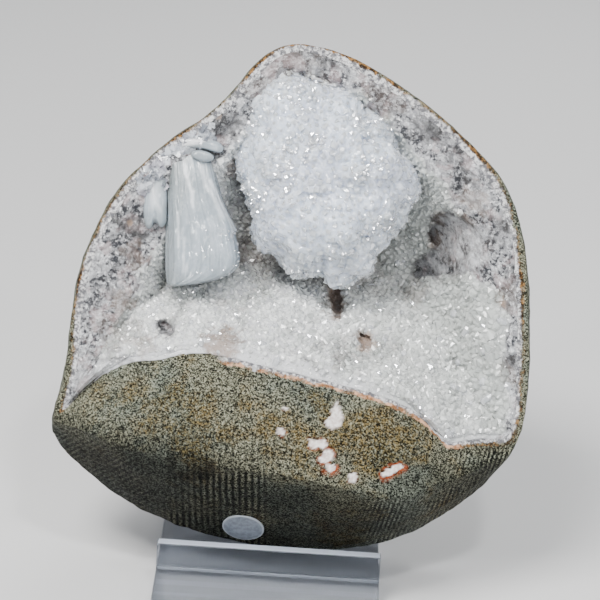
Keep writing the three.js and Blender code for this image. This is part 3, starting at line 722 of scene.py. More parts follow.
class StoneSettings(bpy.types.PropertyGroup):
    """Sizes and colours of the basalt."""

    basalt_dark: FloatVectorProperty(
        name="Dark basalt", description="The darker colour of the basalt's mottle",
        subtype="COLOR", size=3, min=0, max=1, default=linear(14, 15, 11)[:3])
    basalt_light: FloatVectorProperty(
        name="Light basalt", description="The lighter colour of the basalt's mottle",
        subtype="COLOR", size=3, min=0, max=1, default=linear(162, 162, 139)[:3])
    saw_depth: FloatProperty(
        name="Saw mark depth", description="How deep the saw marks are",
        subtype="DISTANCE", unit="LENGTH", default=0.07 * MM, min=0, max=MM)
    saw_spacing: FloatProperty(
        name="Saw mark spacing", description="From one saw mark to the next",
        subtype="DISTANCE", unit="LENGTH", default=1.2 * MM, min=0.5 * MM, max=4 * MM)


class CrystalSettings(bpy.types.PropertyGroup):
    """Sizes and colours of the crystals."""

    druse_spacing: FloatProperty(
        name="Quartz spacing", description="The least room between two quartz crystals",
        subtype="DISTANCE", unit="LENGTH", default=1.15 * MM, min=0.3 * MM, max=5 * MM)
    druse_size: FloatProperty(
        name="Quartz size", description="Width of the larger quartz crystals",
        subtype="DISTANCE", unit="LENGTH", default=3.3 * MM, min=0.5 * MM, max=8 * MM)
    druse_colour: FloatVectorProperty(
        name="Quartz colour", description="Colour of the quartz crystals",
        subtype="COLOR", size=3, min=0, max=1, default=linear(226, 228, 226)[:3])
    ball_spacing: FloatProperty(
        name="Ball spacing", description="The least room between the ball's crystals",
        subtype="DISTANCE", unit="LENGTH", default=1.8 * MM, min=0.3 * MM, max=5 * MM)
    ball_size: FloatProperty(
        name="Ball crystal size", description="Width of the ball's larger crystals",
        subtype="DISTANCE", unit="LENGTH", default=1.9 * MM, min=0.5 * MM, max=8 * MM)
    ball_colour: FloatVectorProperty(
        name="Ball colour", description="Colour of the ball of crystals",
        subtype="COLOR", size=3, min=0, max=1, default=linear(204, 215, 230)[:3])
    fan_colour: FloatVectorProperty(
        name="Flared crystal colour", description="Colour of the flared crystal",
        subtype="COLOR", size=3, min=0, max=1, default=linear(150, 161, 169)[:3])
    seed: IntProperty(
        name="Seed", description="Another number spreads the crystals another way",
        default=5, min=0)


class StandSettings(bpy.types.PropertyGroup):
    """Sizes and colours of the stand and of the studio."""

    edge_bevel: FloatProperty(
        name="Edge bevel", description="How much the edges of the sheets are broken",
        subtype="DISTANCE", unit="LENGTH", default=0.25 * MM, min=0, max=2 * MM)
    acrylic_tint: FloatVectorProperty(
        name="Acrylic tint", description="Colour of light that passes the sheets",
        subtype="COLOR", size=3, min=0, max=1, default=(0.9, 0.93, 0.985))
    floor_colour: FloatVectorProperty(
        name="Floor colour", description="Colour of the studio floor",
        subtype="COLOR", size=3, min=0, max=1, default=(0.62, 0.62, 0.62))
    light_power: FloatProperty(
        name="Light power", description="Power of the main softbox",
        unit="POWER", default=9.0, min=0, max=200)


# ---- basalt shell ----

# The ridge over the sawn face, as seen from the front: across and up.
RIDGE_LINE = np.array([
    [-56, -28], [-42, -32], [-26.2, -34.2], [-19, -35.7], [-8, -38.9], [9, -42],
    [24.4, -43.4], [38, -38], [47, -33.5], [56, -30],
])
# Filled bubbles in the broken face, each going round it as seen from the front, and how
# rusty its edge is.
FILLED_BUBBLES = [
    ([[9.9, -23.0], [11.1, -24.9], [11.6, -26.7], [11.1, -28.7], [9.3, -29.7],
      [7.9, -28.6], [7.5, -27.4], [8.8, -26.3], [9.2, -24.5]], 0.2),
    ([[3.9, -31.3], [4.8, -31.8], [6.3, -31.8], [7.7, -32.0], [7.9, -33.1],
      [7.2, -33.6], [5.9, -33.2], [5.0, -33.6], [3.9, -33.0]], 0.8),
    ([[7.2, -33.8], [8.8, -33.7], [9.5, -34.8], [9.3, -36.0], [7.9, -36.8],
      [6.4, -36.7], [6.1, -35.8], [7.0, -34.9]], 0.8),
    ([[8.0, -37.2], [9.4, -36.9], [9.9, -38.2], [8.9, -39.0], [7.6, -38.4]], 1.6),
    ([[20.6, -40.3], [20.5, -39.4], [21.6, -38.6], [23.2, -38.0], [24.8, -37.5],
      [25.6, -38.1], [24.9, -39.0], [23.4, -39.5], [22.0, -40.2]], 1.4),
    ([[12.8, -39.2], [14.2, -39.0], [14.9, -40.0], [14.3, -41.1], [12.9, -40.8]], 0.4),
    ([[-3.0, -28.9], [-2.0, -29.0], [-1.6, -30.2], [-2.2, -31.0], [-3.1, -30.2]], 0.5),
    ([[-1.9, -24.4], [-1.2, -24.5], [-1.1, -25.1], [-1.8, -25.2]], 0.3),
]
# Stains on the basalt: across, up, reach and strength.
OCHRE_STAINS = [
    (-24, -27, 10, 0.2), (-8, -29, 6, 0.14), (16, -31, 7, 0.32), (20, -37, 5, 0.22),
    (4, -24, 8, 0.12), (-36, -22, 6, 0.18), (26, -33, 6, 0.2), (36, -50, 7, 0.2),
    (12, -53, 8, 0.2), (-20, -37, 5, 0.14), (30, -27, 4, 0.15), (2, -35, 6, 0.18),
]


def rim_distance(points):
    """Distance of points from the rim, across the opening, and the rim's depth there."""
    samples = closed_curve(RIM, np.arange(180) / 180)
    steep = mix(3.2, 1.6, smooth(-samples[:, 2], -2, 14))
    shoulder = shoulder_width(samples)
    flat = points.reshape(-1, 3)
    result = np.zeros((4, len(flat)))
    for begin in range(0, len(flat), 20000):
        part = flat[begin : begin + 20000]
        squared = (part[:, None, 0] - samples[None, :, 0]) ** 2
        squared = squared + (part[:, None, 2] - samples[None, :, 2]) ** 2
        weight = 1 / (squared + 0.5) ** 2
        weight /= weight.sum(1, keepdims=True)
        near = np.sqrt(squared.min(1))
        result[:, begin : begin + len(part)] = (
            near, weight @ samples[:, 1], weight @ steep, weight @ shoulder)
    return [r.reshape(points.shape[:-1]) for r in result]


def shoulder_width(p):
    """How wide the bare band of massive quartz is, between the rim and the crystals."""
    sides = 7.5 * smooth(p[..., 2], -24, -2) + 3 * smooth(-p[..., 0], 20, 45)
    return 1.5 + (sides - 6 * smooth(p[..., 2], 30, 52)) * smooth(p[..., 1], -4, -0.5)


def inside_rim(t, distance, deeper=0.0):
    """The rim moved inwards by a distance, towards the hollow's middle."""
    p = closed_curve(RIM, t)
    along = closed_curve(RIM, t + 0.005) - closed_curve(RIM, t - 0.005)
    inward = np.stack([along[..., 2], -along[..., 0]], -1)
    inward /= np.linalg.norm(inward, axis=-1, keepdims=True)
    towards = HOLLOW_MIDDLE - p[..., [0, 2]]
    towards /= np.linalg.norm(towards, axis=-1, keepdims=True)
    step = distance / np.maximum(0.55, (inward * towards).sum(-1))
    p[..., 0] += towards[..., 0] * step
    p[..., 2] += towards[..., 1] * step
    p[..., 1] += deeper
    return p


def bowl_depth(edge, depth, distance, steepness):
    """How deep a bowl is at a distance from its edge."""
    share = np.clip(distance / HOLLOW_REACH, 0, 1)
    return mix(edge, depth, 1 - (1 - share) ** steepness)


def hollow_depth(points, inset):
    """How deep the hollow's wall lies, behind points across the opening."""
    distance, edge, steep, _ = rim_distance(points)
    return bowl_depth(edge, SHELL_DEPTH - 1.5 * inset, distance - HOLLOW_START - inset, steep)


def hollow_rings(edge_ring, inset):
    """Rings of the hollow's wall, from its edge inwards."""
    middle = np.array([HOLLOW_MIDDLE[0], 0, HOLLOW_MIDDLE[1]])
    rings = []
    for share in WALL_SHARES:
        ring = mix(edge_ring, middle, share)
        ring[:, 1] = hollow_depth(ring, inset)
        rings.append(ring)
    return rings


def front_points(t, share):
    """The front from the rim, at share 0, to the girth, at share 1."""
    rim, girth = closed_curve(RIM, t), closed_curve(GIRTH, t)
    width = np.hypot(girth[..., 0] - rim[..., 0], girth[..., 2] - rim[..., 2])
    ridge = rim[..., 1] - RIDGE_SWELL * smooth(width, 6, 32)
    above = np.minimum(1, share / RIDGE_SHARE)
    below = np.maximum(0, (share - RIDGE_SHARE) / (1 - RIDGE_SHARE))
    depth = mix(rim[..., 1], ridge, np.sin(np.pi / 2 * above))
    points = mix(rim, girth, np.asarray(share)[..., None])
    points[..., 1] = mix(depth, girth[..., 1], below**1.25)
    return points


def back_points(t, degrees):
    """The back from the girth, at 0 degrees, to the back pole, at 90."""
    girth = closed_curve(GIRTH, t)
    wide = np.cos(np.radians(degrees)) ** 0.8
    deep = np.sin(np.radians(degrees)) ** 0.85
    return np.stack([
        mix(BACK_POLE[0], girth[..., 0], wide),
        mix(girth[..., 1], BACK_POLE[1], deep),
        mix(BACK_POLE[2], girth[..., 2], wide),
    ], -1)


def sawn_flat(points):
    """What stands past a sawn face is brought back to its plane."""
    for direction, bite in SAWN_FACES:
        normal = np.array(direction, float)
        normal /= np.linalg.norm(normal)
        height = points @ normal
        past = np.maximum(0, height - (height.max() - bite))
        points = points - past[..., None] * normal
    return points


def ridge_height(across):
    """How high the ridge over the sawn face is."""
    return np.interp(across, RIDGE_LINE[:, 0], RIDGE_LINE[:, 1])


# The ways the saw marks run: angle above level as seen from the front, and spacing.
SAW_SETS = [(27, 0.95), (89, 1.2), (74, 0.82)]


def saw_marks(points):
    """How strong each of the ways is at each point."""
    u, v = seen(points)
    patchy = 0.4 + 0.6 * smooth(noise(points, 6, 8), -0.4, 0.4)
    below = -v
    left = 0.5 * smooth(-u, 29, 35) * smooth(below, 27, 33)
    middle = 1.0 * smooth(-u, 4, 9) * smooth(u, -31, -23) * smooth(below, 38, 41)
    middle += 0.25 * smooth(-u, 0, 10) * smooth(u, -42, -34) * smooth(below, 17, 24)
    right = 1.1 * smooth(u, 14, 20) * smooth(below, 44, 48)
    right += 0.8 * smooth(u, 30, 37) * smooth(below, 30, 36) * smooth(-below, -48, -44)
    return [np.clip(part, 0, 0.9) * patchy for part in (left, middle, right)]


def bubble_marks(points):
    """How filled, and how rusty, the broken face is at each point."""
    u, v = seen(points)
    filled, rust = np.zeros_like(u), np.zeros_like(u)
    wander = 0.16 * noise(points, 0.9, 5) + 0.1 * noise(points, 0.4, 6)
    on_front = points[..., 1] < 4
    for outline, rusty in FILLED_BUBBLES:
        deep = inside_outline(u, v, np.array(outline)) + wander
        filled = np.maximum(filled, smooth(deep, -0.12, 0.12) * on_front)
        ring = smooth(deep, -0.2 - 0.7 * rusty, -0.05) * on_front * min(1, rusty)
        rust = np.maximum(rust, ring * smooth(noise(points, 0.8, 23), -0.5, 0.3))
    return filled, rust * (1 - filled)


def ragged(points, strength):
    """Points moved a little across the opening, to break up a smooth edge."""
    points = points.copy()
    points[..., 0] += strength * rough(points, 3.2, 3, 51)
    points[..., 2] += strength * rough(points, 3.2, 3, 52)
    return points


def below_step(u, v):
    """How far below the small step across the left of the broken face."""
    return -34.3 - 0.24 * (u + 27) - v


def basalt_tone_and_shade(points):
    """How light the basalt is, from its own colour and from painted shade, and how far it is below the
    ridge, where it is sawn.
    """
    u, v = seen(points)
    below = ridge_height(u) - v + 0.9 * noise(points, 5, 61)
    sawn = smooth(below, -4 - 5 * smooth(-u, 4, 20), 5 + 3 * smooth(u, 0, 20))
    step = smooth(below_step(u, v), -0.3, 0.3) * smooth(u, -29, -26)
    step *= smooth(-u, 17, 19.5) * smooth(v, -42, -37)
    sawn = np.maximum(sawn, 0.35 * step)
    # The sawn underside is darker, partly its own colour and partly painted shade, and the stone grows
    # darker towards the bottom as painted shade.
    tone_and_shade = mix(1.0, 0.3, sawn) * mix(1.0, 0.8, smooth(-v, 24, 36))
    # Painted shade: the sawn face darker still towards the lower left.
    tone_and_shade *= mix(1.0, 0.66, sawn * smooth(-u, 22, 40))
    tone_and_shade *= 1 + 0.7 * smooth(u, -2, 14) * smooth(-v, 51.5, 54)
    tone_and_shade *= 1 + 0.5 * smooth(u, 20, 30) * smooth(-v, 44, 48)
    tone_and_shade *= 1 - 0.3 * smooth(u, 16, 26) * smooth(-v, 35, 38) * smooth(v, -45, -41)
    tone_and_shade *= 1 + 0.16 * rough(points, 9, 3, 33)
    # Painted shadow: a dark line along the edge of the small step.
    edge = smooth(step, 0.02, 0.3) * smooth(-step, -0.98, -0.5)
    return tone_and_shade * (1 - 0.6 * edge), sawn


def make_basalt(settings):
    """The half shell, its flat rim and its hollow's wall, with its marks."""
    lip = np.linspace(*LIP_SPAN, 400, endpoint=False)
    rest = np.linspace(LIP_SPAN[1], 1 + LIP_SPAN[0], 150, endpoint=False)
    t = np.concatenate([lip, rest]) % 1
    on_lip = smooth(t, LIP_SPAN[0], LIP_SPAN[0] + 0.015) * smooth(-t, -0.665, -0.652)
    shares = np.concatenate([[0, 0.012, 0.03, 0.055, 0.08], np.linspace(0.1, 0.99, 108)])
    angles = np.concatenate([[0, 2.5], 90 * (np.arange(1, 34) / 34.5) ** 1.05 + 2])
    outside = np.stack(
        [front_points(t, np.full_like(t, s)) for s in shares]
        + [back_points(t, a) for a in angles])
    outside = sawn_flat(outside)
    away = outside - np.array([0, 16, 0])
    away /= np.linalg.norm(away, axis=-1, keepdims=True)
    depth = smooth(np.arange(len(outside)), 0, 5)[:, None]
    u, v = seen(outside)
    tone_and_shade, sawn = basalt_tone_and_shade(outside)
    lift = 0.3 * rough(outside, 12, 2) + 0.16 * rough(outside, 2.6, 3, 4)
    broken = (1 - sawn) * smooth(-outside[..., 1], 2, 8)
    lift += broken * (0.5 * rough(outside, 6, 3, 9) + 0.1 * rough(outside, 1.0, 2, 19))
    step = smooth(u, -31, -25) * smooth(-u, 16, 20) * smooth(-outside[..., 1], -2, 2)
    lift -= 0.9 * step * smooth(below_step(u, v), -0.4, 0.4) * smooth(v, -42, -37)
    filled, rust = bubble_marks(outside)
    lift -= 0.4 * smooth(filled + rust, 0.1, 0.6) * (1 - 0.5 * filled)
    lift += 0.25 * filled * rough(outside, 0.8, 2, 12)
    outside = outside + away * (lift * depth)[..., None]

    flat = [SKIN, 1.0, 0.7, 0.4, 0.2]  # rings of the flat rim, from the mouth outwards
    mouth = np.stack([inside_rim(t, d) for d in flat])
    mouth[..., 1] += 0.08 * noise(mouth, 1.5)
    mouth = ragged(mouth, RIM_RAGGED)
    near_rim = len(flat)
    outside[:near_rim] = mix(
        outside[:near_rim], ragged(outside[:near_rim], RIM_RAGGED), (1 - depth[:near_rim])[..., None])
    hollow = hollow_rings(inside_rim(t, SKIN), 0)
    middle = np.array([HOLLOW_MIDDLE[0], 0, HOLLOW_MIDDLE[1]])
    deepest = middle.copy()
    deepest[1] = hollow_depth(middle[None], 0)[0]
    back = outside[-1].mean(0)
    back[1] = outside[-1][:, 1].max() + 0.02
    rings = np.concatenate([hollow[::-1], mouth, outside])
    piece = closed_skin(
        "basalt_matrix", deepest, rings, back, [basalt_material(settings)])
    lead = 1 + len(hollow) * len(t)
    count = len(piece.data.vertices)
    shown = len(mouth)

    def spread(values, on_flat=0.0):
        full = np.zeros(count)
        part = np.concatenate([np.broadcast_to(on_flat, (shown, len(t))), values])
        full[lead : lead + part.size] = part.ravel()
        return full

    mark(piece, "filled", spread(filled))
    mark(piece, "rust", spread(rust))
    mark(piece, "tone_and_shade", spread(tone_and_shade, 1.0))
    for k, strength in enumerate(saw_marks(outside)):
        mark(piece, "saw_%d" % k, spread(strength))
    stains = sum(
        s * np.exp(-(((u - x) ** 2 + (v - z) ** 2) / r**2)) for x, z, r, s in OCHRE_STAINS)
    mark(piece, "ochre", spread(stains * (outside[..., 1] < 10)))
    rim_u, rim_v = seen(outside[0])
    overgrown = 0.75 * smooth(-rim_u, -14, -2) * smooth(rim_v, -14, 2)
    overgrown += 0.65 * smooth(rim_u, 2, 14) * smooth(rim_v, 15, 25)
    outwards = overgrown - np.linalg.norm(outside - outside[0], axis=-1)
    flat_ring = np.array(flat)[:, None] + overgrown
    mark(piece, "inwards", spread(np.maximum(outwards, -6), flat_ring))
    orange = on_lip * smooth(rim_u, -17.5, -14.5) * smooth(-rim_u, -40, -37)
    around = np.ones((len(outside), 1))
    bare = on_lip * smooth(-rim_u, 14, 18)
    mark(piece, "pale", spread(around * (1 - bare), (1 - bare)[None]))
    worn = 0.45 + 0.55 * smooth(noise(outside[0], 6, 21), -0.3, 0.3)
    rind = worn * (1 - on_lip) + 0.7 * on_lip * smooth(rim_u, 36, 41)
    mark(piece, "rind", spread(rind * around, rind[None]))
    mark(piece, "orange", spread(orange * around, orange[None]))
    return keep(piece, "basalt_shell")


# ---- quartz crust ----

# Patches of the quartz, as seen from the front: across, up, reach, and how grey, dark
# and warm they are.
QUARTZ_PATCHES = [
    (29.3, 7.2, 2.4, 0.9, 0.4, 0.0), (33.0, 18.0, 2.2, 0.9, 0.5, 0.25),
    (32.6, 12.5, 2.2, 0.9, 0.35, 0.35), (46.5, 14.5, 3.0, 0.9, 0.35, 0.0),
    (37.0, 12.5, 6.5, 0.75, 0.0, 0.1), (36.0, 6.2, 3.0, 0.9, 0.35, 0.0),
    (30.5, 38.2, 4.2, 1.0, 0.5, 0.0), (21.0, 45.5, 6.0, 1.0, 0.3, 0.15),
    (37.5, 31.5, 3.4, 0.9, 0.3, 0.0), (41.0, 22.5, 3.4, 0.6, 0.1, 0.35),
    (-15.2, 40.2, 3.9, 1.0, 0.55, 0.0), (-16.4, 41.4, 0.9, 0.3, 0.0, 0.9),
    (0.0, 50.0, 7.0, 1.0, 0.25, 0.1), (-7.0, 47.5, 3.0, 0.9, 0.3, 0.15),
    (-28.4, -6.0, 1.9, 0.5, 0.5, 0.0), (-15.8, -9.8, 3.8, 0.7, 0.1, 0.75),
    # The patch at (9.7, -0.4) is painted shade in the hole under the ball.
    (16.5, -9.3, 2.2, 0.6, 0.15, 0.8), (9.7, -0.4, 2.6, 0.6, 0.3, 0.3),
    (-35.2, 17.2, 2.2, 1.0, 0.65, 0.0), (-36.6, 17.5, 0.7, 0.3, 0.0, 1.0),
    (-35.8, 10.0, 3.0, 1.0, 0.45, 0.25), (-38.4, -0.5, 3.4, 0.9, 0.3, 0.35),
    (-43.5, 3.0, 4.0, 0.8, 0.15, 0.0), (-41.0, 20.0, 4.0, 0.8, 0.15, 0.0),
    (-40.0, -8.0, 5.0, 0.6, 0.1, 0.15), (-38.0, 24.0, 2.5, 0.9, 0.4, 0.0),
    (48.5, 1.0, 3.2, 1.0, 0.45, 0.15), (47.2, -0.4, 1.0, 0.4, 0.1, 1.0),
    (11.0, -13.0, 2.2, 0.6, 0.4, 0.1), (6.0, -10.5, 1.6, 0.5, 0.3, 0.0),
    (-9.5, 10.5, 3.4, 0.6, 0.35, 0.25), (27.0, 2.0, 3.5, 0.4, 0.15, 0.2),
    (-12.4, 29.0, 2.6, 0.6, 0.35, 0.3), (24.8, 26.0, 3.0, 0.4, 0.1, 0.0),
    (49.0, -17.0, 3.0, 0.7, 0.15, 0.2), (-33.0, -11.0, 2.4, 0.6, 0.1, 0.3),
]
# The bare pit in the right wall, as seen from the front, going round it.
PIT_EDGE = np.array([
    [31.9, 19.0], [35.5, 19.8], [40.7, 17.0], [43.2, 14.0], [44.7, 9.5], [40.7, 6.3],
    [35.7, 5.6], [32.3, 5.2], [26.9, 4.7], [28.2, 8.8], [31.6, 11.5], [30.6, 14.5],
])
# Small hollows in the crust, as seen from the front, going round each, then how deep they
# are, how dark inside, which is painted shade, and how warm inside.
HOLLOWS = [
    ([[8.2, 5.5], [10.6, 5.0], [11.5, 0.0], [11.3, -2.7], [10.8, -4.3], [9.3, -4.1],
      [8.8, -1.1], [8.2, 1.1]], 1.6, 0.1, 0.7),
    ([[14.7, -7.5], [15.6, -7.0], [16.5, -7.7], [17.9, -7.5], [18.1, -9.0], [17.9, -11.1],
      [16.3, -11.8], [15.4, -10.4], [15.1, -9.0]], 1.8, 0.08, 0.7),
    ([[-30.5, -5.2], [-29.2, -4.5], [-27.6, -4.7], [-26.7, -6.1], [-26.7, -7.5],
      [-27.8, -8.6], [-29.2, -7.7], [-30.3, -6.6]], 1.6, 0.25, 0.0),
]
# Thin dark veins: each along a bent line as seen from the front, how wide and how dark.
VEINS = [
    ([[9.3, -10.6], [10.8, -11.1], [12.4, -12.4], [13.6, -13.8]], 0.28, 0.8),
    ([[10.8, -11.1], [10.4, -12.2], [9.5, -13.3]], 0.22, 0.6),
    ([[10.2, -13.6], [9.9, -14.9], [10.6, -15.6], [12.0, -14.9], [12.4, -13.6]], 0.22, 0.6),
    ([[2.3, -13.1], [3.4, -13.6], [4.7, -14.2], [5.4, -15.4], [6.8, -16.0], [7.7, -16.7]],
     0.5, 0.65),
    ([[-40.5, 19.2], [-38.9, 17.2], [-36.4, 15.8], [-33.4, 14.5]], 0.9, 0.8),
    ([[-34.4, 15.0], [-34.5, 10.0], [-34.2, 5.6]], 0.35, 0.9),
    ([[-36.8, 27.1], [-34.9, 25.0], [-34.0, 23.5]], 0.6, 0.5),
    ([[-41.0, 2.2], [-39.6, 0.6], [-38.4, -0.7]], 0.8, 0.6),
    ([[-47.0, -11.0], [-43.0, -13.6], [-38.0, -13.0], [-36.2, -14.0]], 0.6, 0.5),
    ([[38.0, 32.2], [38.6, 29.6], [40.8, 28.4]], 0.5, 0.7),
    ([[43.4, 18.6], [45.4, 18.3], [47.0, 17.9]], 0.5, 0.6),
    ([[31.0, 6.0], [36.0, 5.7], [41.9, 6.6], [44.6, 9.0]], 0.4, 0.6),
    ([[31.6, 18.6], [34.8, 19.9], [38.0, 19.0], [40.6, 17.0]], 0.55, 0.85),
    ([[31.4, 18.8], [31.0, 14.5], [31.9, 12.4]], 0.5, 0.7),
    ([[30.2, 10.0], [27.4, 8.4], [26.9, 5.0]], 0.45, 0.7),
    ([[-18.5, 42.5], [-14.0, 39.0], [-12.8, 36.0]], 0.7, 0.6),
]


def shaded_edge(u, v, outline):
    """Where a hollow's upper left edge shades it."""
    outline = np.array(outline)
    here = smooth(inside_outline(u, v, outline), -0.15, 0.15)
    return here * smooth(-inside_outline(u - 0.9, v + 0.9, outline), -0.5, 0.4)


def druse_cover(p, distance, edge, shoulder):
    """Where small crystals cover the crust, from 0 to 1."""
    across = p * (1, 0, 1)
    u, v = seen(p)
    lip = smooth(-edge, 3.0, 5.0)
    narrow = 0.8 * smooth(u, 26, 34) * smooth(-v, -5, 0)
    past = distance - CRUST_EDGE - shoulder * (1 - lip) * (1 - narrow) + 1.6 * lip
    uneven = past + 1.8 * noise(across, 4, 41) * (1 - lip) + 0.8 * noise(across, 1.5, 42)
    bare = inside_outline(u, v, PIT_EDGE) + 0.4 * noise(across, 2.0, 43)
    for outline, _, _, _ in HOLLOWS:
        bare = np.maximum(bare, inside_outline(u, v, np.array(outline)))
    return smooth(uneven, -0.5, 0.5) * (1 - smooth(bare, -0.35, 0.1))


def lump_distances(p):
    """How far each point of the crust is from the middle of its mass of crystals, head of
    crystals, lump and nodule."""
    across = p * (1, 0, 1)
    return (
        cells(across + 1.5 * noise(across, 5, 71)[..., None], 9, 21),
        cells(across + noise(across, 3, 72)[..., None], 4.2, 22),
        cells(p + 0.8 * noise(p, 3, 73)[..., None], 5.5, 24),
        cells(p, 2.2, 1),
    )


def quartz_marks(piece, on_crystals=False):
    """Marks how grey, dark, warm and veiled each point of a quartz piece is: partly its own colour,
    partly painted shade in its recesses.
    """
    p = in_stone(vertices_of(piece))
    u, v = seen(p)
    distance, edge, _, shoulder = rim_distance(p)
    lip = smooth(-edge, 3.0, 5.0)
    cover = druse_cover(p, distance, edge, shoulder)
    on_band = (1 - cover) * mix(0.28, 1.0, smooth(-inside_outline(u, v, PIT_EDGE), -0.5, 0.5))
    grey = 0.95 * on_band
    across = p * (1, 0, 1)
    if on_crystals:
        grey *= 0.2
    dark, warm = np.zeros_like(u), np.zeros_like(u)
    for middle_u, middle_v, reach, much_grey, much_dark, much_warm in QUARTZ_PATCHES:
        near = np.hypot(u - middle_u, v - middle_v) / reach + 0.6 * rough(p, 2.0, 4, 11)
        inside = smooth(-near, -1.0, -0.8)
        grey = np.maximum(grey, much_grey * inside)
        dark = np.maximum(dark, much_dark * inside)
        warm = np.maximum(warm, much_warm * inside)
    # Painted shade inside the hollows and along their shaded upper left edges; their warm tint is their
    # own colour.
    for outline, _, much_dark, much_warm in HOLLOWS:
        inside = smooth(inside_outline(u, v, np.array(outline)), -0.15, 0.2)
        dark = np.maximum(dark, much_dark * inside + 0.4 * shaded_edge(u, v, outline))
        warm = np.maximum(warm, much_warm * inside)
    dark = np.maximum(dark, 0.36 * shaded_edge(u, v, PIT_EDGE))
    for line, wide, much_dark in VEINS:
        away = line_distance(u, v, line) / wide + 0.5 * rough(p, 1.2, 3, 12)
        dark = np.maximum(dark, much_dark * smooth(-away, -1.1, -0.6))
    masses, heads, lumps, nodules = lump_distances(p)
    # Painted shade in the crevices between the band's lumps and nodules.
    crevice = 0.75 * smooth(lumps, 0.6, 0.88) + 0.45 * smooth(nodules, 0.6, 0.9)
    dark = np.maximum(dark, (1 - cover) * crevice * smooth(noise(p, 7, 74), -0.5, 0.2))
    # Painted shade: greyer between the masses and heads of crystals.
    low = np.maximum(smooth(masses, 0.62, 0.95), 0.5 * smooth(heads, 0.66, 0.95))
    grey = np.maximum(grey, 0.95 * low * cover)
    # Painted shade deep in the hollow, behind and under the ball: greyer, warmer left of the pit, and a
    # little darker.
    deep = smooth(p[:, 1], 12, 24) * smooth(v, -8, 2)
    grey = np.maximum(grey, 0.48 * deep)
    warm = np.maximum(warm, 0.25 * deep * smooth(-u, -24, -16))
    dark = np.maximum(dark, 0.1 * deep)
    grey = grey * (1 - 0.9 * lip * smooth(-distance, -5, -3.5))
    mark(piece, "grey", np.clip(grey, 0, 1))
    mark(piece, "dark", np.clip(dark, 0, 1))
    mark(piece, "warm", np.clip(warm, 0, 1))
    # Greyer towards the right, and painted shade between the masses of crystals.
    veil = 0.8 * smooth(u, 4, 22) + 0.3 * noise(p, 6, 75)
    veil = np.clip(np.maximum(veil, 0.75 * low + 0.3 * veil), 0, 0.85)
    mark(piece, "veil", veil * cover * (0.5 + 0.5 * smooth(-lip, -1, 0)))


def crust_face(t, share):
    """The crust's face from the rim, at share 0, to the hollow's middle, at 1."""
    middle = np.array([HOLLOW_MIDDLE[0], 0, HOLLOW_MIDDLE[1]])
    p = mix(inside_rim(t, CRUST_EDGE), middle, share)
    distance, edge, steep, shoulder = rim_distance(p)
    past = distance - CRUST_EDGE
    on_shoulder = 0.1 + 0.5 * np.minimum(shoulder, np.maximum(0, past))
    p[..., 1] = bowl_depth(edge + on_shoulder, CRUST_DEPTH, past - shoulder, steep)
    relief = sum(
        d * np.exp(-((np.hypot(p[..., 0] - x, p[..., 2] - z) / r) ** 3))
        for x, z, r, d in CRUST_RELIEF)
    swells = 0.9 * noise(p, 5)
    p[..., 1] += (relief + swells) * smooth(share, 0.015, 0.15)
    behind = hollow_depth(p, 0) - CRUST_THICKNESS * smooth(share, 0, 0.08)
    p[..., 1] = np.minimum(p[..., 1], behind)
    cover = druse_cover(p, distance, edge, shoulder)
    u, v = seen(p)
    masses, heads, lumps, nodules = (
        1 - np.minimum(1, away) ** power for away, power in zip(lump_distances(p), (2, 2, 2, 1.5)))
    fine = 1 - np.minimum(1, cells(p, 1.1, 2))
    band = 1.6 * (lumps - 0.6) + 0.7 * (nodules - 0.4) + 0.35 * fine + 0.5 * rough(p, 2.2, 3, 7)
    swell = 3.2 * (masses - 0.6) + 1.5 * (heads - 0.6)
    lift = mix(band, swell * smooth(past, 1, 5) + 1.2, cover)
    pit = inside_outline(u, v, PIT_EDGE) + 0.4 * rough(p, 2.2, 2, 44)
    lift = lift - (1.4 + 1.6 * smooth(-u, -42, -32)) * smooth(pit, -0.2, 0.5)
    for outline, depth, _, _ in HOLLOWS:
        lift = lift - depth * smooth(inside_outline(u, v, np.array(outline)), -0.2, 0.5)
    p[..., 1] -= lift * smooth(share, 0.0, 0.05)
    wall = hollow_depth(p, 0) - 0.7 - 0.9 * nodules - 0.3 * fine
    p[..., 1] = mix(p[..., 1], np.minimum(p[..., 1], wall), smooth(share, 0.02, 0.12))
    return p


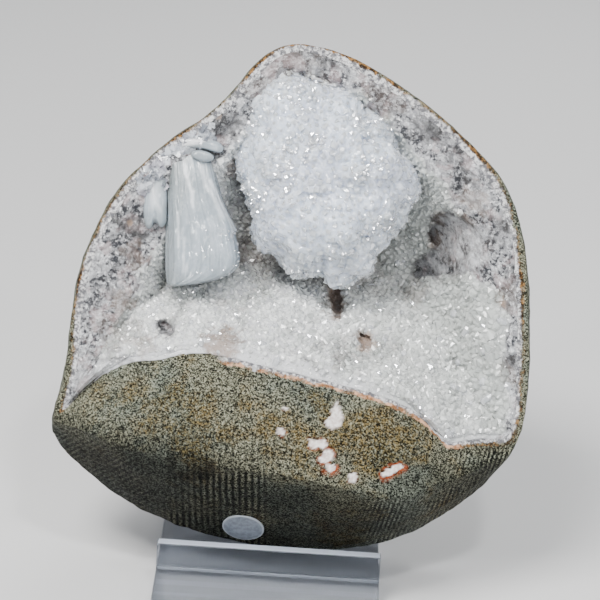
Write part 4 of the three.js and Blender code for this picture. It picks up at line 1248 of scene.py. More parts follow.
def crystal_tree(name, blocky):
    """Geometry nodes that grow crystals on a surface, out along its normals."""
    tree = bpy.data.node_groups.new(name, "GeometryNodeTree")
    face = tree.interface
    face.new_socket("Geometry", in_out="INPUT", socket_type="NodeSocketGeometry")
    face.new_socket("Geometry", in_out="OUTPUT", socket_type="NodeSocketGeometry")
    for label in ("Spacing", "Smallest", "Largest", "Tilt"):
        face.new_socket(label, in_out="INPUT", socket_type="NodeSocketFloat")
    face.new_socket("Seed", in_out="INPUT", socket_type="NodeSocketInt")
    face.new_socket("Material", in_out="INPUT", socket_type="NodeSocketMaterial")
    new, link = tree.nodes.new, tree.links.new
    given = new("NodeGroupInput").outputs
    out = new("NodeGroupOutput").inputs

    spread = new("GeometryNodeDistributePointsOnFaces")
    spread.distribute_method = "POISSON"
    growth = new("GeometryNodeInputNamedAttribute")
    growth.data_type = "FLOAT"
    growth.inputs["Name"].default_value = "growth"
    link(given["Geometry"], spread.inputs["Mesh"])
    link(given["Spacing"], spread.inputs["Distance Min"])
    spread.inputs["Density Max"].default_value = 6e6
    link(growth.outputs["Attribute"], spread.inputs["Density Factor"])
    link(given["Seed"], spread.inputs["Seed"])

    if blocky:
        body = new("GeometryNodeMeshCube")
        body.inputs["Size"].default_value = (1.0, 0.85, 0.7)
        sink = new("GeometryNodeTransform")
        sink.inputs["Translation"].default_value = (0, 0, -0.16)
        link(body.outputs["Mesh"], sink.inputs["Geometry"])
        shape = sink.outputs["Geometry"]
    else:
        tip = new("GeometryNodeMeshCone")
        foot = new("GeometryNodeMeshCone")
        both = new("GeometryNodeJoinGeometry")
        weld = new("GeometryNodeMergeByDistance")
        weld.inputs["Distance"].default_value = 0.001
        ends = [  # cone, radius at its top and bottom, height and where it begins
            (foot, 0.5, 0.0, 0.7, -0.85), (tip, 0.0, 0.5, 0.5, -0.15)]
        for cone, top, bottom, height, start in ends:
            cone.fill_type = "NONE"
            cone.inputs["Vertices"].default_value = 6
            cone.inputs["Radius Top"].default_value = top
            cone.inputs["Radius Bottom"].default_value = bottom
            cone.inputs["Depth"].default_value = height
            move = new("GeometryNodeTransform")
            move.inputs["Translation"].default_value = (0, 0, start)
            link(cone.outputs["Mesh"], move.inputs["Geometry"])
            link(move.outputs["Geometry"], both.inputs["Geometry"])
        link(both.outputs["Geometry"], weld.inputs["Geometry"])
        shape = weld.outputs["Geometry"]

    tilt = new("FunctionNodeRandomValue")
    tilt.data_type = "FLOAT_VECTOR"
    negative = new("ShaderNodeMath")
    negative.operation = "MULTIPLY"
    negative.inputs[1].default_value = -1.0
    low = new("ShaderNodeCombineXYZ")
    high = new("ShaderNodeCombineXYZ")
    link(given["Tilt"], negative.inputs[0])
    for axis in ("X", "Y"):
        link(negative.outputs[0], low.inputs[axis])
        link(given["Tilt"], high.inputs[axis])
    high.inputs["Z"].default_value = 6.283
    link(low.outputs[0], tilt.inputs["Min"])
    link(high.outputs[0], tilt.inputs["Max"])
    link(given["Seed"], tilt.inputs["Seed"])
    as_turn = new("FunctionNodeEulerToRotation")
    link(tilt.outputs["Value"], as_turn.inputs[0])
    turn = new("FunctionNodeRotateRotation")
    turn.rotation_space = "LOCAL"
    link(spread.outputs["Rotation"], turn.inputs["Rotation"])
    link(as_turn.outputs[0], turn.inputs["Rotate By"])

    size = new("FunctionNodeRandomValue")
    size.data_type = "FLOAT"
    link(given["Smallest"], size.inputs[2])
    link(given["Largest"], size.inputs[3])
    link(given["Seed"], size.inputs["Seed"])
    share = new("GeometryNodeInputNamedAttribute")
    share.data_type = "FLOAT"
    share.inputs["Name"].default_value = "size"
    sized = new("ShaderNodeMath")
    sized.operation = "MULTIPLY"
    link(size.outputs[1], sized.inputs[0])
    link(share.outputs["Attribute"], sized.inputs[1])

    shade = new("FunctionNodeRandomValue")
    shade.data_type = "FLOAT"
    shade.inputs["Seed"].default_value = 77
    note = new("GeometryNodeStoreNamedAttribute")
    note.data_type = "FLOAT"
    note.domain = "POINT"
    note.inputs["Name"].default_value = "shade"
    link(spread.outputs["Points"], note.inputs["Geometry"])
    link(shade.outputs[1], note.inputs["Value"])

    grow = new("GeometryNodeInstanceOnPoints")
    link(note.outputs["Geometry"], grow.inputs["Points"])
    link(shape, grow.inputs["Instance"])
    link(turn.outputs["Rotation"], grow.inputs["Rotation"])
    link(sized.outputs[0], grow.inputs["Scale"])
    real = new("GeometryNodeRealizeInstances")
    link(grow.outputs["Instances"], real.inputs["Geometry"])
    paint = new("GeometryNodeSetMaterial")
    link(real.outputs["Geometry"], paint.inputs["Geometry"])
    link(given["Material"], paint.inputs["Material"])
    link(paint.outputs["Geometry"], out["Geometry"])
    return tree


def grow_crystals(name, bed, tree, material, **values):
    """Crystals on a bed mesh, as one plain mesh. The bed is used up."""
    modifier = bed.modifiers.new("crystals", "NODES")
    modifier.node_group = tree
    values["Material"] = material
    for item in tree.interface.items_tree:
        if item.in_out == "INPUT" and item.name in values:
            modifier[item.identifier] = values[item.name]
    bpy.context.view_layer.update()
    evaluated = bed.evaluated_get(bpy.context.evaluated_depsgraph_get())
    mesh = bpy.data.meshes.new_from_object(evaluated)
    bed.modifiers.remove(modifier)
    bpy.data.objects.remove(bed)
    mesh.name = name
    mesh.materials.clear()
    mesh.materials.append(material)
    mesh.polygons.foreach_set("use_smooth", np.zeros(len(mesh.polygons), bool))
    made = bpy.data.objects.new(name, mesh)
    bpy.context.scene.collection.objects.link(made)
    if not len(mesh.polygons):
        raise RuntimeError(name + " has no crystals")
    return made


# The glassy grey crystals at the upper left, as seen from the front, going round them.
GLASSY_EDGE = np.array([
    [-35.7, 28.0], [-32.1, 32.1], [-28.5, 34.8], [-24.9, 37.2], [-21.2, 39.6],
    [-18.6, 39.4], [-17.4, 36.9], [-18.6, 34.6], [-20.8, 34.8], [-23.1, 33.4],
    [-25.8, 33.0], [-28.0, 32.1], [-28.9, 29.4], [-28.7, 24.9], [-29.8, 22.6],
    [-32.5, 22.6], [-34.8, 24.9],
])
SCATTERED_POINTS = 170  # clear crystals at places that don't matter
# Larger clear crystals among the small ones, as seen from the front: across, up, width.
CLEAR_POINTS = [
    (-3.8, -6.1, 1.6), (3.6, -8.1, 1.5), (-7.0, -9.9, 1.4), (-3.2, -13.8, 1.8),
    (-14.9, -1.8, 1.6), (20.8, -9.0, 1.7), (19.9, -13.1, 1.6), (19.7, -16.9, 1.7),
    (17.4, -2.7, 1.4), (25.3, -12.4, 1.8), (-16.0, -5.0, 1.6), (37.1, -3.4, 2.2),
    (43.6, -11.3, 2.0), (31.0, -15.6, 2.2), (43.2, -18.3, 2.3), (49.7, -11.1, 1.8),
    (44.1, -22.1, 2.0), (48.8, -19.4, 1.8), (36.5, -19.5, 2.1), (33.0, -9.2, 2.0),
    (39.6, -6.9, 1.9), (28.1, -19.0, 1.8), (-28.0, -11.0, 1.3), (-20.3, -9.4, 1.2),
    (-9.0, -15.6, 1.4), (6.8, -16.4, 1.6), (13.2, -18.0, 1.5), (-30.5, -2.7, 1.4),
    (-22.8, -5.4, 1.3), (0.9, -11.9, 1.3), (47.0, -4.6, 1.7), (38.0, -14.0, 1.9),
]


def bright_points(name, spots, outwards, widths, seed):
    """Six-sided crystals with a point at both ends. Each has one face turned to throw a
    lamp's light to the front."""
    random = np.random.default_rng(seed)
    lamps = in_stone(np.array([place for _, place, _, _, _ in LAMPS if place[1] < 0]))
    around = (np.arange(6) - 0.5) * math.pi / 3
    side = np.stack([np.cos(around), np.sin(around)], -1) / 2
    slope = math.atan2(0.47, 0.433)

    def unit(w):
        return w / np.linalg.norm(w)

    points, faces = [], []
    for spot, outward_way, width in zip(spots, outwards, widths):
        lamp = lamps[random.integers(len(lamps))]
        half = unit(unit(EYE - spot) + unit(lamp - spot) + random.normal(0, 0.04, 3))
        lean = unit(outward_way) + random.normal(0, 0.5, 3)
        lean = unit(lean - (lean @ half) * half)
        axis = math.cos(slope) * half + math.sin(slope) * lean
        first = unit(half - (half @ axis) * axis)
        second = np.cross(axis, first)
        start = len(points) * 14
        rings = [
            spot + axis * width * h + width * (side[:, :1] * first + side[:, 1:] * second)
            for h in (0.25, -0.8)]
        tips = [spot + axis * width * h for h in (0.72, -1.25)]
        points.append(np.vstack(rings + tips))
        for k in range(6):
            j = (k + 1) % 6
            for face in ((k, j, 12), (j, k, 6 + k), (j, 6 + k, 6 + j), (6 + j, 6 + k, 13)):
                faces.append([start + i for i in face])
    material = bpy.data.materials.get("clear_quartz") or clear_quartz_material()
    made = mesh_object(
        name, placed(np.vstack(points)), [np.array(faces)], [material], flat=True)
    work = bmesh.new()
    work.from_mesh(made.data)
    bmesh.ops.recalc_face_normals(work, faces=work.faces)
    work.to_mesh(made.data)
    work.free()
    return made


def make_crust(settings):
    """The lining, the small crystals on it, the glassy ones and the larger clear ones."""
    t = np.arange(560) / 560
    inward = np.concatenate([[0, 0.008, 0.02], np.linspace(0.036, 0.97, 86)])
    rings = [crust_face(t, s) for s in inward]
    middle = np.array([HOLLOW_MIDDLE[0], 0, HOLLOW_MIDDLE[1]])
    centre = middle.copy()
    centre[1] = crust_face(np.array([0.0]), 1.0)[0, 1]
    brim = [ragged(inside_rim(t, SKIN + d, y), 0.25) for d, y in (
        (0.95, 0.08), (0.75, 0.05), (0.5, 0.0), (0.3, -0.05), (0.05, -0.06), (-0.2, -0.03))]
    for ring in brim[:-1]:
        ring[:, 1] -= 0.3 * (1 - np.minimum(1, cells(ring, 1.15, 2))) - 0.15
    tucked = inside_rim(t, SKIN + 0.1, 0.5)
    edge = inside_rim(t, SKIN + CRUST_BACK_GAP, 0.8)
    wall = hollow_rings(edge, CRUST_BACK_GAP)
    deepest = middle.copy()
    deepest[1] = hollow_depth(middle[None], CRUST_BACK_GAP)[0]
    lining = closed_skin(
        "quartz_lining", centre, rings[::-1] + brim + [tucked, edge] + wall,
        deepest, [crust_material()])
    quartz_marks(lining)
    keep(lining, "quartz_crust")

    t = np.arange(420) / 420
    near_rim = [inside_rim(t, d, 0.1) for d in (0.35, 0.8, 1.25, 1.7, 2.1)]
    rows = np.stack(near_rim + [crust_face(t, s) for s in np.linspace(0.0, 0.95, 84)])
    p = rows.reshape(-1, 3)
    distance, edge_depth, _, shoulder = rim_distance(p)
    u, v = seen(p)
    cover = druse_cover(p, distance, edge_depth, shoulder)
    glassy = inside_outline(u, v, GLASSY_EDGE) + 0.5 * noise(p, 1.5, 45)
    faces = skin_faces(len(rows), len(t), 0, False, False)

    def new_bed(growth, size):
        bed = mesh_object("bed", placed(p), [f[:, ::-1].copy() for f in faces], [])
        mark(bed, "growth", growth)
        mark(bed, "size", size)
        return bed

    granular = smooth(-np.hypot((u + 15.8) / 4.6, (v + 9.8) / 3.0), -1.1, -0.9)
    size = (0.75 + 0.25 * smooth(u, -4, 24) * smooth(-v, -12, 4)) * (1 - 0.55 * granular)
    size = size * mix(0.25, 1.0, smooth(distance, 0.3, 5.5)) * mix(0.6, 1.0, smooth(cover, 0.3, 1))
    bed = new_bed(cover, size)
    druse = grow_crystals(
        "quartz_crystals", bed, crystal_tree("grow_quartz", False), druse_material(settings),
        Spacing=settings.druse_spacing, Smallest=0.5 * settings.druse_size,
        Largest=settings.druse_size, Tilt=0.6, Seed=settings.seed)
    quartz_marks(druse, True)
    keep(druse, "quartz_crust")
    bed = new_bed(smooth(glassy, -0.3, 0.3), np.ones(len(p)))
    glass = grow_crystals(
        "glassy_crystals", bed, crystal_tree("grow_glassy", True), glassy_material(),
        Spacing=0.8 * MM, Smallest=0.8 * MM, Largest=2.0 * MM, Tilt=0.6, Seed=settings.seed + 4)
    keep(glass, "quartz_crust")

    random = np.random.default_rng(settings.seed + 7)
    chosen = [np.argmin((u - x) ** 2 + (v - z) ** 2) for x, z, _ in CLEAR_POINTS]
    widths = [w for _, _, w in CLEAR_POINTS]
    open_floor = np.flatnonzero((cover > 0.9) & (v < 6 + 0.2 * np.abs(u)) & (u > -34))
    chosen += list(random.choice(open_floor, SCATTERED_POINTS, replace=False))
    widths += list(random.uniform(0.7, 1.35, SCATTERED_POINTS))
    spots = p[chosen]
    outwards = (np.array([HOLLOW_MIDDLE[0], 0, HOLLOW_MIDDLE[1]]) - spots) * (1, 0, 1) / 60
    points = bright_points(
        "clear_quartz_points", spots, outwards - (0, 1, 0), widths, settings.seed + 8)
    return lining, druse, glass, keep(points, "quartz_crust")


# ---- ball of crystals ----

# The ball's outline as seen from the front, from its middle: across and up.
BALL_MIDDLE = np.array([7.4, 8.0, 29.2])
BALL_OUTLINE = np.array([
    [-19.1, 19.4], [-9.4, 24.6], [-5.6, 23.2], [-1.1, 23.2], [2.3, 21.0], [7.5, 18.7],
    [9.8, 16.5], [10.7, 14.2], [15.4, 12.4], [18.1, 5.8], [19.9, 3.6], [21.5, 0.2],
    [21.7, -3.2], [20.1, -7.7], [17.6, -11.6], [15.2, -14.5], [12.5, -17.9],
    [12.0, -20.6], [11.1, -23.5], [5.7, -25.4], [1.2, -25.4], [-0.4, -23.2],
    [-5.6, -24.2], [-9.0, -22.9], [-11.2, -19.7], [-14.1, -18.6], [-16.2, -16.8],
    [-16.9, -13.8], [-17.6, -10.0], [-18.5, -6.6], [-20.3, 1.3], [-21.2, 3.6],
    [-20.9, 6.7], [-20.0, 9.7], [-19.1, 11.9], [-18.5, 14.9],
])
BALL_DEPTH = 15.5
BALL_GLINTS = 460  # larger crystals that throw the light to the front


def ball_reach(angle):
    """Distance from the ball's middle to its outline, at an angle across the front."""
    angles = np.arctan2(BALL_OUTLINE[:, 1], BALL_OUTLINE[:, 0])
    reaches = np.hypot(BALL_OUTLINE[:, 0], BALL_OUTLINE[:, 1])
    order = np.argsort(angles)
    return np.interp(angle, angles[order], reaches[order], period=2 * np.pi)


def ball_points(rows, columns):
    """Rings of the ball from its front pole to its back one."""
    across = np.linspace(0.02, 0.98, rows) * np.pi
    around = np.arange(columns) / columns * 2 * np.pi
    reach = ball_reach(around) * 0.985
    rings = []
    for a in across:
        full = np.sin(a) ** 0.85
        rings.append(np.stack([
            BALL_MIDDLE[0] + reach * np.cos(around) * full,
            np.full(columns, BALL_MIDDLE[1]) - BALL_DEPTH * np.cos(a),
            BALL_MIDDLE[2] + reach * np.sin(around) * full,
        ], -1))
    return np.stack(rings)


def blocks(points, size, seed):
    """A relief of flat-topped blocks that overlap, each turned and tipped another way."""
    q = points / size
    corner = np.floor(q).astype(np.int64)
    best = np.full(q.shape[:-1], -1.0)
    for i in (-1, 0, 1):
        for j in (-1, 0, 1):
            for k in (-1, 0, 1):
                at = corner + (i, j, k)
                x, y, z = at[..., 0], at[..., 1], at[..., 2]
                away = q - at - np.stack(
                    [lattice(x + 31 * seed, y, z), lattice(x, y + 31 * seed, z),
                     lattice(x, y, z + 31 * seed)], -1)
                turns = [lattice(x + 7, y + m, z + 17 * seed) for m in (1, 5, 9)]
                a, b = turns[0] * 3.14, turns[1] * 3.14
                first = np.stack([np.cos(a) * np.cos(b), np.sin(a) * np.cos(b), np.sin(b)], -1)
                second = np.stack([-np.sin(a), np.cos(a), 0 * a], -1)
                third = np.cross(first, second)
                along = [np.abs((away * way).sum(-1)) for way in (first, second, third)]
                side = np.maximum(np.maximum(along[0], along[1]), along[2])
                tipped = (away * (first - second)).sum(-1)
                top = 0.45 + 0.55 * turns[2] + 0.45 * tipped
                best = np.maximum(best, np.minimum(top, 3.2 * (0.72 - side)))
    return best


def ball_form(rings):
    """The ball's rings with its overlapping lumps and blocky bumps."""
    away = rings - BALL_MIDDLE
    away /= np.linalg.norm(away, axis=-1, keepdims=True)
    lobes = 1 - np.minimum(1, cells(rings, 8.5, 3)) ** 1.5
    edge = 1 + 0.5 * smooth(rings[..., 0] - rings[..., 2], -30, 0)
    lift = 2.2 * edge * lobes + 1.0 * blocks(rings, 3.4, 4) - 2.2
    return rings + away * lift[..., None], away


def painted_shade_low_down(piece):
    # Painted shade: greyer towards the ball's underside.
    p = in_stone(vertices_of(piece))
    mark(piece, "grey", 0.15 * smooth(BALL_MIDDLE[2] - 12 - p[:, 2], 0, 12))


def make_ball(settings):
    """The ball, the blocky crystals on its front and those that glint."""
    rings, away = ball_form(ball_points(220, 400))
    rings = rings + away * (0.34 * blocks(rings, 1.7, 6) - 0.17)[..., None]
    front = rings[0].mean(0) - (0, 0.05, 0)
    back = rings[-1].mean(0) + (0, 0.05, 0)
    material = ball_material(settings)
    core = closed_skin("crystal_ball", front, rings, back, [material])
    painted_shade_low_down(core)
    keep(core, "goosecreekite_ball")

    rings, away = ball_form(ball_points(90, 180))
    shown = rings[:62]
    p = shown.reshape(-1, 3)
    faces = skin_faces(len(shown), shown.shape[1], 0, False, False)
    bed = mesh_object("bed", placed(p), faces, [])
    a, b, c = (p[faces[0][:, k]] for k in (0, 1, 2))
    if np.einsum("ij,ij->i", np.cross(b - a, c - a), a - BALL_MIDDLE).sum() < 0:
        bed.data.flip_normals()
    mark(bed, "growth", np.ones(len(p)))
    mark(bed, "size", 0.75 + 0.25 * noise(p, 4, 9))
    crystals = grow_crystals(
        "ball_crystals", bed, crystal_tree("grow_blocks", True), material,
        Spacing=settings.ball_spacing, Smallest=0.5 * settings.ball_size,
        Largest=settings.ball_size, Tilt=0.5, Seed=settings.seed + 2)
    painted_shade_low_down(crystals)
    keep(crystals, "goosecreekite_ball")

    p, ways = rings[3:50].reshape(-1, 3), away[3:50].reshape(-1, 3)
    clustered = np.flatnonzero(noise(p, 6, 81) + 0.5 * noise(p, 2, 82) > 0.1)
    random = np.random.default_rng(settings.seed + 9)
    chosen = random.choice(clustered, BALL_GLINTS, replace=False)
    glints = bright_points(
        "bright_ball_points", p[chosen], ways[chosen], random.uniform(0.5, 1.3, BALL_GLINTS),
        settings.seed + 10)
    keep(glints, "goosecreekite_ball")
    return core, crystals, glints


# ---- flared crystal ----

# Sections from the top down: height, left, right, front, back.
FAN_SECTIONS = np.array([
    [36.0, -26.8, -23.5, 3.2, 6.5], [35, -27.7, -21.4, 2.2, 8.5], [33, -28.4, -19.0, 1.0, 11],
    [31, -28.7, -17.8, 0.2, 12], [27.5, -28.7, -17.0, -0.6, 13], [23.7, -28.7, -16.1, -1.1, 14],
    [20.0, -28.7, -14.6, -1.5, 14.5], [16.2, -28.7, -12.7, -1.8, 15], [15.0, -28.7, -13.0, -1.9, 15],
    [12.5, -28.7, -12.4, -1.9, 15], [9.5, -28.7, -11.9, -2, 15],
    [7.4, -28.7, -12.4, -1.9, 14.8], [5.6, -28.6, -14.4, -1.7, 14.4],
    [4.4, -28.5, -17.6, -1.4, 13.5], [3.6, -28.3, -21.8, -0.8, 12.5],
    [3.2, -27.9, -25.2, 0.4, 10.5],
])
FAN_SQUARENESS = 3.2  # 2 would make its sections ovals
FAN_GLINTS = 36  # small crystals low on its face
# Small blades beside it, each an outline as seen from the front, and its front and back.
LEFT_BLADE = ([
    [-28.6, 32.6], [-28.2, 26.0], [-28.3, 19.0], [-28.9, 16.9], [-29.9, 16.5],
    [-30.6, 17.4], [-31.3, 17.5], [-32.0, 16.2], [-33.0, 16.3], [-33.6, 18.0],
    [-33.9, 21.5], [-33.8, 26.0], [-33.2, 30.0], [-31.8, 32.4], [-30.2, 33.0],
], 0.2, 6.0)
UPPER_THUMB = ([
    [-26.0, 36.6], [-22.0, 36.9], [-18.5, 36.4], [-16.3, 35.6], [-15.5, 34.4],
    [-16.1, 33.4], [-17.6, 33.5], [-20.5, 34.2], [-24.0, 34.4], [-26.5, 34.8],
], -0.6, 4.0)
LOWER_THUMB = ([
    [-22.6, 33.7], [-21.0, 34.0], [-18.9, 33.5], [-17.7, 32.6], [-18.0, 31.6],
    [-19.6, 31.2], [-21.4, 31.6], [-22.9, 32.5],
], -1.0, 3.6)


def pillow(name, outline, front, back, material, flatness):
    """A rounded crystal that fills an outline, from a front to a back depth."""
    rows, columns = 36, 96
    outline = np.asarray(outline, float)
    middle = outline.mean(0)
    around = np.arange(columns) / columns
    edge = closed_curve(outline, around)
    half = (back - front) / 2
    rings = []
    for a in np.linspace(0.05, 0.95, rows) * np.pi:
        across = middle + (edge - middle) * np.sin(a) ** flatness
        deep = (front + back) / 2 - half * np.sign(np.cos(a)) * np.abs(np.cos(a)) ** 0.8
        rings.append(np.stack([across[:, 0], np.full(columns, deep), across[:, 1]], -1))
    rings = np.stack(rings)
    rings[..., 1] += 0.15 * noise(rings, 2.0, 15)
    first = np.array([middle[0], front, middle[1]])
    last = np.array([middle[0], back, middle[1]])
    return closed_skin(name, first, rings, last, [material])


# Painted highlights, as light streaks in it: each along a bent line as seen from the front, how wide,
# how strong the highlight is.
FAN_STREAKS = [
    ([[-24.9, 33.0], [-24.0, 28.5], [-22.6, 24.0], [-22.4, 21.0]], 0.55, 0.9),
    ([[-20.5, 30.0], [-19.4, 26.0], [-17.2, 22.5], [-15.4, 18.5]], 0.7, 0.7),
    ([[-18.6, 27.0], [-17.2, 24.5], [-14.8, 19.5], [-13.2, 16.2]], 0.5, 0.8),
    ([[-25.8, 20.0], [-25.6, 12.0]], 0.35, 0.6),
    ([[-24.3, 14.0], [-24.6, 6.5]], 0.4, 0.4),
    ([[-13.2, 16.0], [-13.6, 14.4]], 0.5, 0.6),
]


def make_fan(settings):
    """The flared crystal, its three blades and the small crystals low on its face."""
    material = fan_material(settings)
    rows, columns = 150, 220
    where = np.linspace(0, len(FAN_SECTIONS) - 1, rows)
    index = np.arange(len(FAN_SECTIONS))
    height, left, right, front, back = (
        np.interp(where, index, FAN_SECTIONS[:, k]) for k in range(5))
    for _ in range(4):
        for line in (left, right, front, back, height):
            line[1:-1] = (line[:-2] + 2 * line[1:-1] + line[2:]) / 4
    angle = np.arange(columns) / columns * 2 * np.pi
    across, deep = np.cos(angle), np.sin(angle)
    squared = (np.abs(across) ** FAN_SQUARENESS + np.abs(deep) ** FAN_SQUARENESS) ** (
        -1 / FAN_SQUARENESS)
    in_front = smooth(-deep, -0.1, 0.3)
    flutes = 0.016 * np.cos(9 * angle + 0.6) + 0.009 * np.cos(23 * angle + 1)
    flutes += 0.004 * np.cos(51 * angle + 2)
    rings = []
    for k in range(rows):
        reach = squared * (1 + flutes * in_front)
        rings.append(np.stack([
            (left[k] + right[k]) / 2 + across * reach * (right[k] - left[k]) / 2,
            (front[k] + back[k]) / 2 + deep * reach * (back[k] - front[k]) / 2,
            np.full(columns, height[k]),
        ], -1))
    rings = np.stack(rings)
    rings[..., 1] += 0.22 * noise(rings, 4.0, 4)
    top = rings[0].mean(0) + (0, 0, 0.3)
    bottom = rings[-1].mean(0) - (0, 0, 0.2)
    fan = closed_skin("flared_crystal", top, rings, bottom, [material])
    p = in_stone(vertices_of(fan))
    left_side = smooth(-p[:, 0], 22, 28)
    high = smooth(p[:, 2], 8, 30)
    grey = 0.95 * high * (0.4 + 0.6 * left_side) + 0.12 * noise(p * (1, 1, 0.25), 1.6, 71)
    u, v = seen(p)
    # Painted highlights along the streaks.
    painted_highlight = np.zeros_like(u)
    for line, wide, much in FAN_STREAKS:
        away = line_distance(u, v, line) / wide + 0.35 * rough(p * (1, 1, 0.4), 1.0, 3, 13)
        painted_highlight = np.maximum(painted_highlight, 0.6 * much * smooth(-away, -1.4, 0.1))
    side = 0.45 * smooth(-p[:, 0], 22.5, 26.5) + 0.2 * smooth(-p[:, 2], -8, -4)
    grey = np.maximum(grey, side + 0.15 * noise(p * (1, 1, 0.25), 2.2, 72))
    mark(fan, "painted_highlight", painted_highlight)
    mark(fan, "grey", np.clip(grey * (1 - painted_highlight), 0, 1))
    keep(fan, "goosecreekite_fan")
    made = [fan]
    blades = [
        ("left_blade", LEFT_BLADE), ("upper_thumb", UPPER_THUMB), ("lower_thumb", LOWER_THUMB)]
    for name, (outline, near, far) in blades:
        flatness = 0.35 if name == "left_blade" else 0.55
        piece = pillow(name, outline, near, far, material, flatness)
        p = in_stone(vertices_of(piece))
        # Painted highlights: a light line down the left blade, and the thumbs' upper edges lit.
        if name == "left_blade":
            line = np.abs(p[:, 0] + 31.4 + 0.22 * (p[:, 2] - 26))
            painted_highlight = smooth(-line, -0.9, -0.2) * smooth(p[:, 2], 19, 22)
            grey = 0.3 + 0.4 * noise(p, 2, 8)
        else:
            painted_highlight = smooth(p[:, 2] - 0.25 * p[:, 0], 40.4, 41.2)
            grey = 0.35 + 0.3 * smooth(-p[:, 0], 18.5, 23)
        mark(piece, "painted_highlight", 0.8 * painted_highlight)
        mark(piece, "grey", np.clip(grey * (1 - painted_highlight), 0, 1))
        keep(piece, "goosecreekite_fan")
        made.append(piece)

    random = np.random.default_rng(settings.seed + 11)
    on_face = rings[:, in_front > 0.9].reshape(-1, 3)
    u, v = seen(on_face)
    low_right = np.flatnonzero((u > -21.5) & (v < 16) & (v > 5))
    chosen = random.choice(low_right, FAN_GLINTS, replace=False)
    glints = bright_points(
        "bright_flared_points", on_face[chosen] + (0, 0.12, 0), [(0.0, -1.0, 0.0)] * FAN_GLINTS,
        random.uniform(0.3, 0.6, FAN_GLINTS), settings.seed + 12)
    made.append(keep(glints, "goosecreekite_fan"))
    return made


# ---- adhesive dot ----

DOT_DIAMETER = 9.5
DOT_PROFILE = [  # radius, as a share, and height of the film's domed section, from the front
    (0.3, 0.22), (0.6, 0.2), (0.8, 0.17), (0.9, 0.15), (0.94, 0.17), (0.975, 0.16),
    (1.0, 0.1), (1.0, -0.2), (0.97, -0.25), (0.5, -0.25),
]


def make_dot():
    """The round film, on the sawn face that it is stuck to."""
    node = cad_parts["adhesive_dot"]
    p = in_stone(vertices_of(node))
    middle = p.mean(0)
    normal = np.array(SAWN_FACES[0][0])
    normal /= np.linalg.norm(normal)
    radius = DOT_DIAMETER / 2
    side = np.cross(normal, (0, 0, 1.0))
    side /= np.linalg.norm(side)
    up = np.cross(side, normal)
    around = np.arange(72) / 72 * 2 * np.pi
    rings = [
        middle + normal * h
        + radius * r * (np.outer(np.cos(around), side) + np.outer(np.sin(around), up))
        for r, h in DOT_PROFILE
    ]
    dot = closed_skin(
        "round_film_dot", middle + normal * DOT_PROFILE[0][1], rings,
        middle + normal * DOT_PROFILE[-1][1], [dot_material()])
    p = in_stone(vertices_of(dot)) - middle
    from_middle = np.linalg.norm(p - np.outer(p @ normal, normal), axis=1) / radius
    mark(dot, "edge", smooth(from_middle, 0.9, 0.97))
    return keep(dot, "adhesive_dot")


# ---- stand ----


def make_sheet(node, name, outline, settings, frosted_ways):
    """A clear sheet: an outline across the depth and up, drawn out over the node's width."""
    low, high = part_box(node)
    work = bmesh.new()
    ends = [
        [work.verts.new((x, y, z)) for y, z in outline] for x in (low[0], high[0])]
    count = len(outline)
    work.faces.new(ends[0])
    work.faces.new(ends[1][::-1])
    for k in range(count):
        j = (k + 1) % count
        work.faces.new((ends[0][k], ends[1][k], ends[1][j], ends[0][j]))
    bmesh.ops.recalc_face_normals(work, faces=work.faces)
    bmesh.ops.bevel(
        work, geom=list(work.edges), offset=settings.edge_bevel, segments=2, profile=0.6,
        affect="EDGES")
    bmesh.ops.recalc_face_normals(work, faces=work.faces)
    for face in work.faces:
        frosted = any(face.normal.dot(Vector(way)) > 0.97 for way in frosted_ways)
        face.material_index = 1 if frosted else 0
    mesh = bpy.data.meshes.new(name)
    work.to_mesh(mesh)
    work.free()
    mesh.materials.append(bpy.data.materials["clear_acrylic"])
    mesh.materials.append(bpy.data.materials["sawn_acrylic_edge"])
    piece = bpy.data.objects.new(name, mesh)
    bpy.context.scene.collection.objects.link(piece)
    return keep(piece, node)


def upright_outline(node, seam=0.0):
    low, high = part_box(node)
    foot = low[2] + seam
    return [(low[1], foot), (high[1], foot), (high[1], high[2]), (low[1], high[2])]


def leaning_outline(node, seam):
    """The back rest's section, whose two faces lean back by LEAN."""
    low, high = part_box(node)
    drift = (high[2] - low[2]) * math.tan(LEAN)
    thick = high[1] - low[1] - drift
    foot, forward = low[2] + seam, low[1] + seam * math.tan(LEAN)
    return [
        (forward, foot), (forward + thick, foot), (high[1], high[2]),
        (high[1] - thick, high[2])]


def make_stand(settings):
    """The three sheets. Those that stand on the floor plate keep off it by a thin seam."""
    acrylic_material(settings)
    sawn_edge_material()
    seam = 0.06 * MM
    sides = [(1, 0, 0), (-1, 0, 0)]
    front_and_back = [(0, 1, 0), (0, -1, 0)]
    ends = [(0, 0, 1), (0, 0, -1)]
    return [
        make_sheet("stand_base", "clear_floor_plate", upright_outline("stand_base"),
                   settings, sides + front_and_back),
        make_sheet("stand_ledge", "clear_front_ledge", upright_outline("stand_ledge", seam),
                   settings, sides + ends),
        make_sheet("stand_back_rest", "clear_back_rest",
                   leaning_outline("stand_back_rest", seam), settings, sides + ends),
    ]


# ---- studio ----

LAMPS = [  # name, place, size, share of the power, colour
    ("top_softbox", (-0.28, -0.38, 0.72), 0.34, 1.15, (1, 0.985, 0.96)),
    ("front_fill", (0.3, -0.8, 0.35), 0.5, 0.3, (0.96, 0.98, 1)),
    ("back_light", (0.2, 0.6, 0.6), 0.5, 0.45, (1, 1, 1)),
    ("high_sparkle", (0.12, -0.42, 0.6), 0.06, 0.22, (1, 1, 1)),
    ("left_sparkle", (-0.5, -0.5, 0.35), 0.07, 0.18, (1, 1, 1)),
    ("right_sparkle", (0.45, -0.45, 0.45), 0.07, 0.12, (1, 1, 1)),
]


